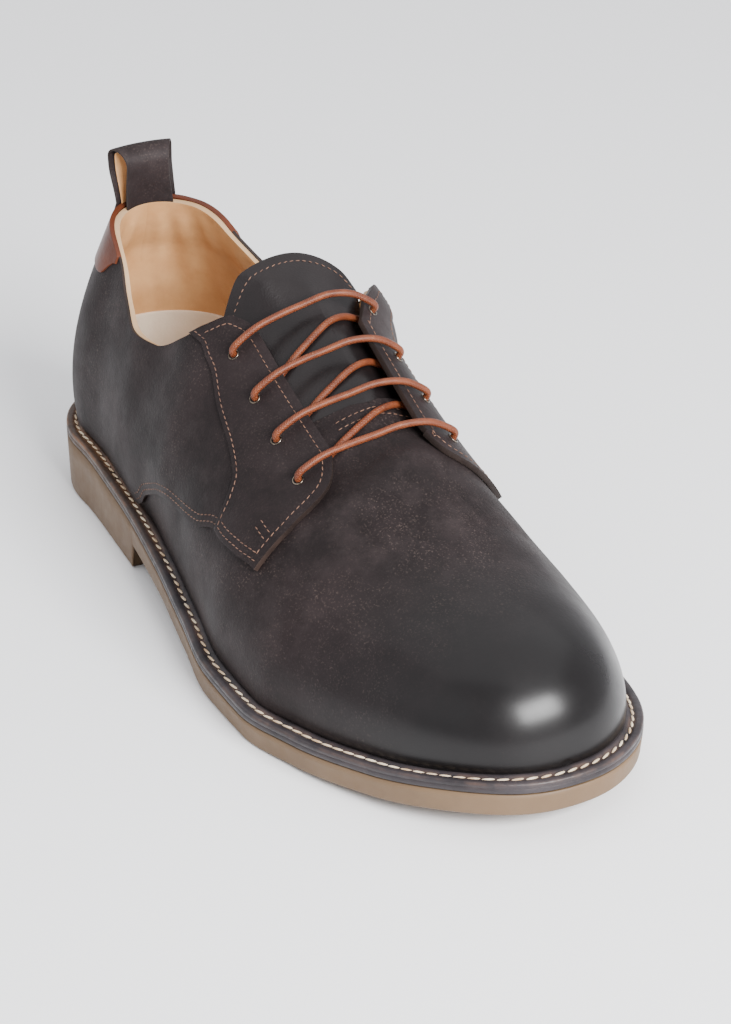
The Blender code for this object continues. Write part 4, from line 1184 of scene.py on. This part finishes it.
def eyeletSpot(side, k, further=0.0):
    share = k / (eyeletSet["count"] - 1)
    inset = eyeletSet["inset"] + eyeletSet["spread"] * share + further
    at = eyeletSet["first"] + (eyeletSet["last"] - eyeletSet["first"]) * share
    if side > 0:
        at += eyeletSet["innerForward"] / last["length"] * (1 - share)
    edge = gapShare(side, at)
    rim = rib(side, at, edge)
    t = shareWhere(side, at, last["flank"], edge, lambda p: (p - rim).length <= inset)
    out = outward(side, at, t)
    inward = rim - rib(side, at, t)
    inward = (inward - out * inward.dot(out)).normalized()
    return rib(side, at, t), out, inward


def makeEyelet(side, k):
    centre, out, inward = eyeletSpot(side, k)
    third = out.cross(inward)
    axes = Matrix((inward, third, out)).transposed().to_4x4()
    form = bmesh.new()
    top = facingSet["lift"]
    wire = bmesh.ops.create_circle(form, segments=8, radius=eyeletSet["wire"])["verts"]
    bmesh.ops.rotate(form, verts=wire, cent=(0, 0, 0), matrix=Matrix.Rotation(math.pi / 2, 3, "X"))
    bmesh.ops.translate(form, verts=wire, vec=(eyeletSet["ring"], 0, top + 0.0001))
    bmesh.ops.spin(
        form, geom=wire + form.edges[:], cent=(0, 0, 0), axis=(0, 0, 1), angle=2 * math.pi, steps=28, use_merge=True,
    )
    bmesh.ops.remove_doubles(form, verts=form.verts, dist=1e-6)
    bmesh.ops.recalc_face_normals(form, faces=form.faces)
    # no hole is cut: this capped dark disc inside the ring is painted shade of the hole round the lace
    hole = bmesh.ops.create_circle(form, segments=24, radius=eyeletSet["hole"], cap_ends=True)["verts"]
    bmesh.ops.translate(form, verts=hole, vec=(0, 0, top + 0.00006))
    for face in {face for corner in hole for face in corner.link_faces}:
        face.material_index = 1
        if face.normal.z < 0:
            face.normal_flip()
    axes.translation = centre
    bmesh.ops.transform(form, matrix=axes, verts=form.verts)
    name = words[side] + "_" + str(k + 1)
    finishPiece("grommet_" + name, form, [eyeletFinish, holePaint], "eyelet_brass", ["eyelet_" + name])


for side in (-1, 1):
    for k in range(eyeletSet["count"]):
        makeEyelet(side, k)


# lace: round waxed cord through the eyelets, four bars and three diagonals, then hidden under the inner facing
laceSet = {
    "radius": 0.00118, "under": -0.0027, "bend": 0.0018, "settle": 0.0030, "tailSpread": 0.004,
    "top": 0.0029, "sides": 14, "step": 0.0007, "evening": 9,
}


def overInstep(at, y, lift):
    middle = (smooth(plan, "inner", at) - smooth(plan, "outer", at)) / 2
    axisY = last["ballWidth"] * (middle + smooth(ribs, "ridge", at))
    side = 1 if y > axisY else -1
    return skin(side, at, shareWhere(side, at, last["flank"], 1.0, lambda p: p.y * side <= y * side), lift)


def laceRoute():
    over = laceSet["top"] + laceSet["bend"]
    under = laceSet["under"]
    crest = over - laceSet["settle"]
    slope = (over + crest) / 2 - last["clearance"]
    bend = laceSet["bend"]
    corner = bend * math.sqrt(0.5)
    route = []

    def through(side, k, heading, down):
        centre, out, inward = eyeletSpot(side, k)
        heading = (heading - out * heading.dot(out)).normalized()
        low, high = under + bend, over - bend
        points = [
            centre + heading * bend + out * under,
            centre + heading * (bend - corner) + out * (low - corner),
            centre + out * low,
            centre + out * high,
            centre + inward * (bend - corner) + out * (high + corner),
            centre + inward * bend + out * over,
        ]
        return points[::-1] if down else points

    def between(start, end, lifts):
        points = []
        for m, lift in enumerate(lifts):
            spot = start.lerp(end, (m + 1) / (len(lifts) + 1))
            points.append(overInstep(spot.x / last["length"], spot.y, lift))
        return points

    count = eyeletSet["count"]
    spots = [(eyeletSpot(-1, k)[0], eyeletSpot(1, k)[0]) for k in range(count)]
    for k, (outer, inner) in enumerate(spots):
        cameFrom = spots[k - 1][1] - outer if k else inner - outer
        route += through(-1, k, cameFrom, False)
        route += between(outer, inner, (over, slope, crest, slope, over))
        if k + 1 < count:
            route += through(1, k, spots[k + 1][0] - inner, True)
            route += between(inner, spots[k + 1][0], (under,) * 5)
    inward = eyeletSpot(1, count - 1)[2]
    route += through(1, count - 1, -inward, True)
    for step in range(2 * count - 1):
        centre, out, inward = eyeletSpot(1, count - 1 - step / 2, laceSet["tailSpread"])
        route.append(centre + out * under)
    return route


def smoothRoute(points, step):
    line = []
    end = len(points) - 1
    for k in range(end):
        p0, p1, p2, p3 = (points[min(max(k + m, 0), end)] for m in (-1, 0, 1, 2))
        pieces = max(2, round((p2 - p1).length / step))
        for m in range(pieces):
            t = m / pieces
            bend = (2 * p0 - 5 * p1 + 4 * p2 - p3) * t * t + (3 * p1 - p0 - 3 * p2 + p3) * t**3
            line.append(0.5 * (2 * p1 + (p2 - p0) * t + bend))
    return line + [points[-1]]


def makeLace():
    line = smoothRoute(laceRoute(), laceSet["step"])
    for _ in range(laceSet["evening"]):
        line = [line[0]] + [(a + b * 2 + c) / 4 for a, b, c in zip(line, line[1:], line[2:])] + [line[-1]]
    end = len(line) - 1
    headings = [(line[min(k + 1, end)] - line[max(k - 1, 0)]).normalized() for k in range(end + 1)]
    lengths = [0.0]
    for a, b in zip(line, line[1:]):
        lengths.append(lengths[-1] + (b - a).length)
    across = headings[0].orthogonal().normalized()
    crosses = []
    for heading in headings:
        across = (across - heading * across.dot(heading)).normalized()
        crosses.append((across.copy(), heading.cross(across)))
    sides = laceSet["sides"]
    form = bmesh.new()
    bmesh.ops.create_grid(form, x_segments=end, y_segments=sides, size=0.5)
    spread = form.loops.layers.uv.new("braid")
    around = 2 * math.pi * laceSet["radius"]
    for face in form.faces:
        for loop in face.loops:
            i = round((loop.vert.co.x + 0.5) * end)
            loop[spread].uv = (lengths[i], (loop.vert.co.y + 0.5) * around)
    for corner in form.verts:
        i = round((corner.co.x + 0.5) * end)
        turn = 2 * math.pi * (corner.co.y + 0.5)
        first, second = crosses[i]
        corner.co = line[i] + (first * math.cos(turn) + second * math.sin(turn)) * laceSet["radius"]
    bmesh.ops.remove_doubles(form, verts=form.verts, dist=1e-6)
    bmesh.ops.holes_fill(form, edges=form.edges, sides=sides)
    bmesh.ops.recalc_face_normals(form, faces=form.faces)
    print("lace length", round(lengths[-1], 4))
    finishPiece("laceCord", form, [laceFinish], "lace_cord", ["lace"])


makeLace()


# pull loop: a strap folded over the back of the collar, dark outside and tan inside
loopSet = {
    "width": 0.0190, "rise": 0.0200, "thick": 0.0016, "opening": 0.0050, "inset": 0.0012, "hem": 0.012,
    "flatness": 0.8,
    "inside": -0.0008, "innerHem": 0.0015, "outside": 0.0030, "columns": 20, "turns": 24,
}


def loopProfile():
    half = loopSet["thick"] / 2
    inside, outside = loopSet["inside"], loopSet["outside"]
    middle = (inside + outside) / 2
    bulge = loopSet["opening"] / 2 + half
    waist = loopSet["rise"] - half - bulge
    profile = [(inside, -loopSet["innerHem"] * (1 - k / 3)) for k in range(4)]
    for k in range(1, 10):
        profile.append((inside + (middle - bulge - inside) * eased(k / 10, 0, 1), waist * k / 10))
    for k in range(loopSet["turns"] + 1):
        turn = math.pi * k / loopSet["turns"]
        profile.append((middle - bulge * math.cos(turn), waist + bulge * math.sin(turn)))
    for k in range(9, 0, -1):
        profile.append((outside + (middle + bulge - outside) * eased(k / 10, 0, 1), waist * k / 10))
    return profile + [(outside, -loopSet["hem"] * k / 8) for k in range(9)]


def loopPlaces(width):
    places = []
    for i in range(loopSet["columns"] + 1):
        y = (2 * i / loopSet["columns"] - 1) * width / 2
        side = -1 if y < 0 else 1
        low, high = 0.0, last["heelCentre"]
        for _ in range(last["searchSteps"]):
            at = (low + high) / 2
            if abs(skin(side, at, topShare(side, at), 0.0).y) < abs(y):
                low = at
            else:
                high = at
        places.append((side, at))
    return places


def makePullLoop():
    profile = loopProfile()
    end = len(profile) - 1

    def place(places, i, j, face):
        side, at = places[i]
        offset, height = profile[j]
        before, after = profile[max(j - 1, 0)], profile[min(j + 1, end)]
        run, rise = after[0] - before[0], after[1] - before[1]
        size = math.hypot(run, rise)
        offset -= face * rise / size
        height += face * run / size
        edge = topShare(side, at)
        if height <= 0.0:
            rimHeight = rib(side, at, edge).z
            foot = shareWhere(side, at, last["flank"], edge, lambda p: p.z >= rimHeight + height)
            return skin(side, at, foot, offset)
        rim = skin(side, at, edge, offset)
        straight = min(height / (loopSet["rise"] / 2), 1.0)
        rear = skin(-1, 0.0, topShare(-1, 0.0), offset)
        x = rim.x + (rear.x - rim.x) * straight * loopSet["flatness"]
        return Vector((x, rim.y, rim.z + height))

    for name, face, paint, slotName in (
        ("pullLoopOuter", loopSet["thick"] / 2, quarterPaint, "dark_leather"),
        ("pullLoopInner", -loopSet["thick"] / 2, liningPaint, "cognac_leather"),
    ):
        places = loopPlaces(loopSet["width"] - (2 * loopSet["inset"] if face < 0 else 0.0))
        form = movedGrid(loopSet["columns"], end, lambda i, j: place(places, i, j, face))
        crown = max(form.faces, key=lambda f: f.calc_center_median().z)
        if (crown.normal.z > 0) != (face > 0):
            bmesh.ops.reverse_faces(form, faces=form.faces)
        finishPiece(name, form, [paint, cutPaint], slotName, ["pull_loop"], wall=loopSet["thick"] * 0.5, soft=0.0003)


makePullLoop()
print("eyelets, lace and pull loop done")


# rows of stitches on the panels
# at and t of the point that a short move along the skin leads to
def shiftedSpot(side, at, t, move):
    step = 1e-3
    along = (rib(side, min(at + step, 1.0), t) - rib(side, at - step, t)) / (2 * step)
    up = (rib(side, at, min(t + step, 1.0)) - rib(side, at, t - step)) / (2 * step)
    aa, bb, ab = along.dot(along), up.dot(up), along.dot(up)
    ma, mb = move.dot(along), move.dot(up)
    scale = aa * bb - ab * ab
    return at + (ma * bb - mb * ab) / scale, t + (mb * aa - ma * ab) / scale


def insetTrail(side, edge, inset, lift, flip=1):
    trail = []
    for k, (at, t) in enumerate(edge):
        before, after = edge[max(k - 1, 0)], edge[min(k + 1, len(edge) - 1)]
        heading = (rib(side, *after) - rib(side, *before)).normalized()
        out = outward(side, at, t)
        inwards = out.cross(heading).normalized() * flip
        newAt, newT = shiftedSpot(side, at, t, inwards * inset)
        newOut = outward(side, newAt, newT)
        trail.append((skin(side, newAt, newT, lift + relief(side, newAt, newT)), newOut))
    return trail


panelStitch = {"length": 0.0017, "gap": 0.0006, "radius": 0.00021, "slant": 0.1, "sink": 0.00004}


def sewPanel(form, trail):
    sewTrail(form, trail, *(panelStitch[key] for key in ("length", "gap", "radius", "slant", "sink")))


# rows along the seam to the quarter, the facing's foot, its front, the quarter's hem, and two short tacks
def makePanelStitches(side):
    form = bmesh.new()

    def sew(edge, inset, lift, flip):
        sewPanel(form, insetTrail(side, edge, inset, lift, flip * -side))

    lower = [(at, seamShare(side, at)) for at in span(0.352, 0.5455, 120)]
    foot = [(at, seamShare(side, at)) for at in span(0.549, 0.632, 50)]
    upper = [(at, smooth(facingUpper, "t", at) * facingTop(side, at)) for at in span(0.400, 0.632, 150)]
    front = [(0.640, t * facingTop(side, 0.640)) for t in span(0.72, 0.56, 20)]
    corner = [(at, smooth(facingUpper, "t", at) * facingTop(side, at)) for at in span(0.633, 0.6395, 24)]
    hem = [(at, smooth(quarterLower, "t", at) * facingTop(side, at)) for at in span(0.306, 0.540, 140)]
    top = [(at, topShare(side, at)) for at in span(0.360, 0.400, 24)]
    facingLift, quarterLift = facingSet["lift"], quarterSet["lift"]
    sew(lower, 0.0016, facingLift, 1)
    sew(foot, 0.0018, facingLift, 1)
    sew(foot, 0.0040, facingLift, 1)
    sew(top + upper + corner + front, 0.0030, facingLift, -1)
    sew(hem, 0.0018, quarterLift, 1)
    sew(hem, 0.0038, quarterLift, 1)
    for t in (0.492, 0.518):
        sew([(at, t) for at in span(0.604, 0.629, 12)], 0.0, facingLift, 1)
    finishPiece("panelStitches_" + words[side], form, [brownThread], "cognac_leather")


for side in (-1, 1):
    makePanelStitches(side)


def makeTongueStitches():
    form = bmesh.new()
    sewPanel(form, [tongueSpot(0.040, across) for across in span(-0.93, 0.93, 120)])
    for inset in (0.0022, 0.0048):
        trail = []
        for side, shares in ((-1, span(0.86, 1.0, 30)), (1, span(0.999, 0.80, 40))):
            for t in shares:
                at = vampSet["back"] + inset / last["length"]
                trail.append((skin(side, at, t, vampDip(side, at, t)), outward(side, at, t)))
        sewPanel(form, trail)
    finishPiece("tongueStitches", form, [brownThread], "cognac_leather")


makeTongueStitches()
print("stitches done")
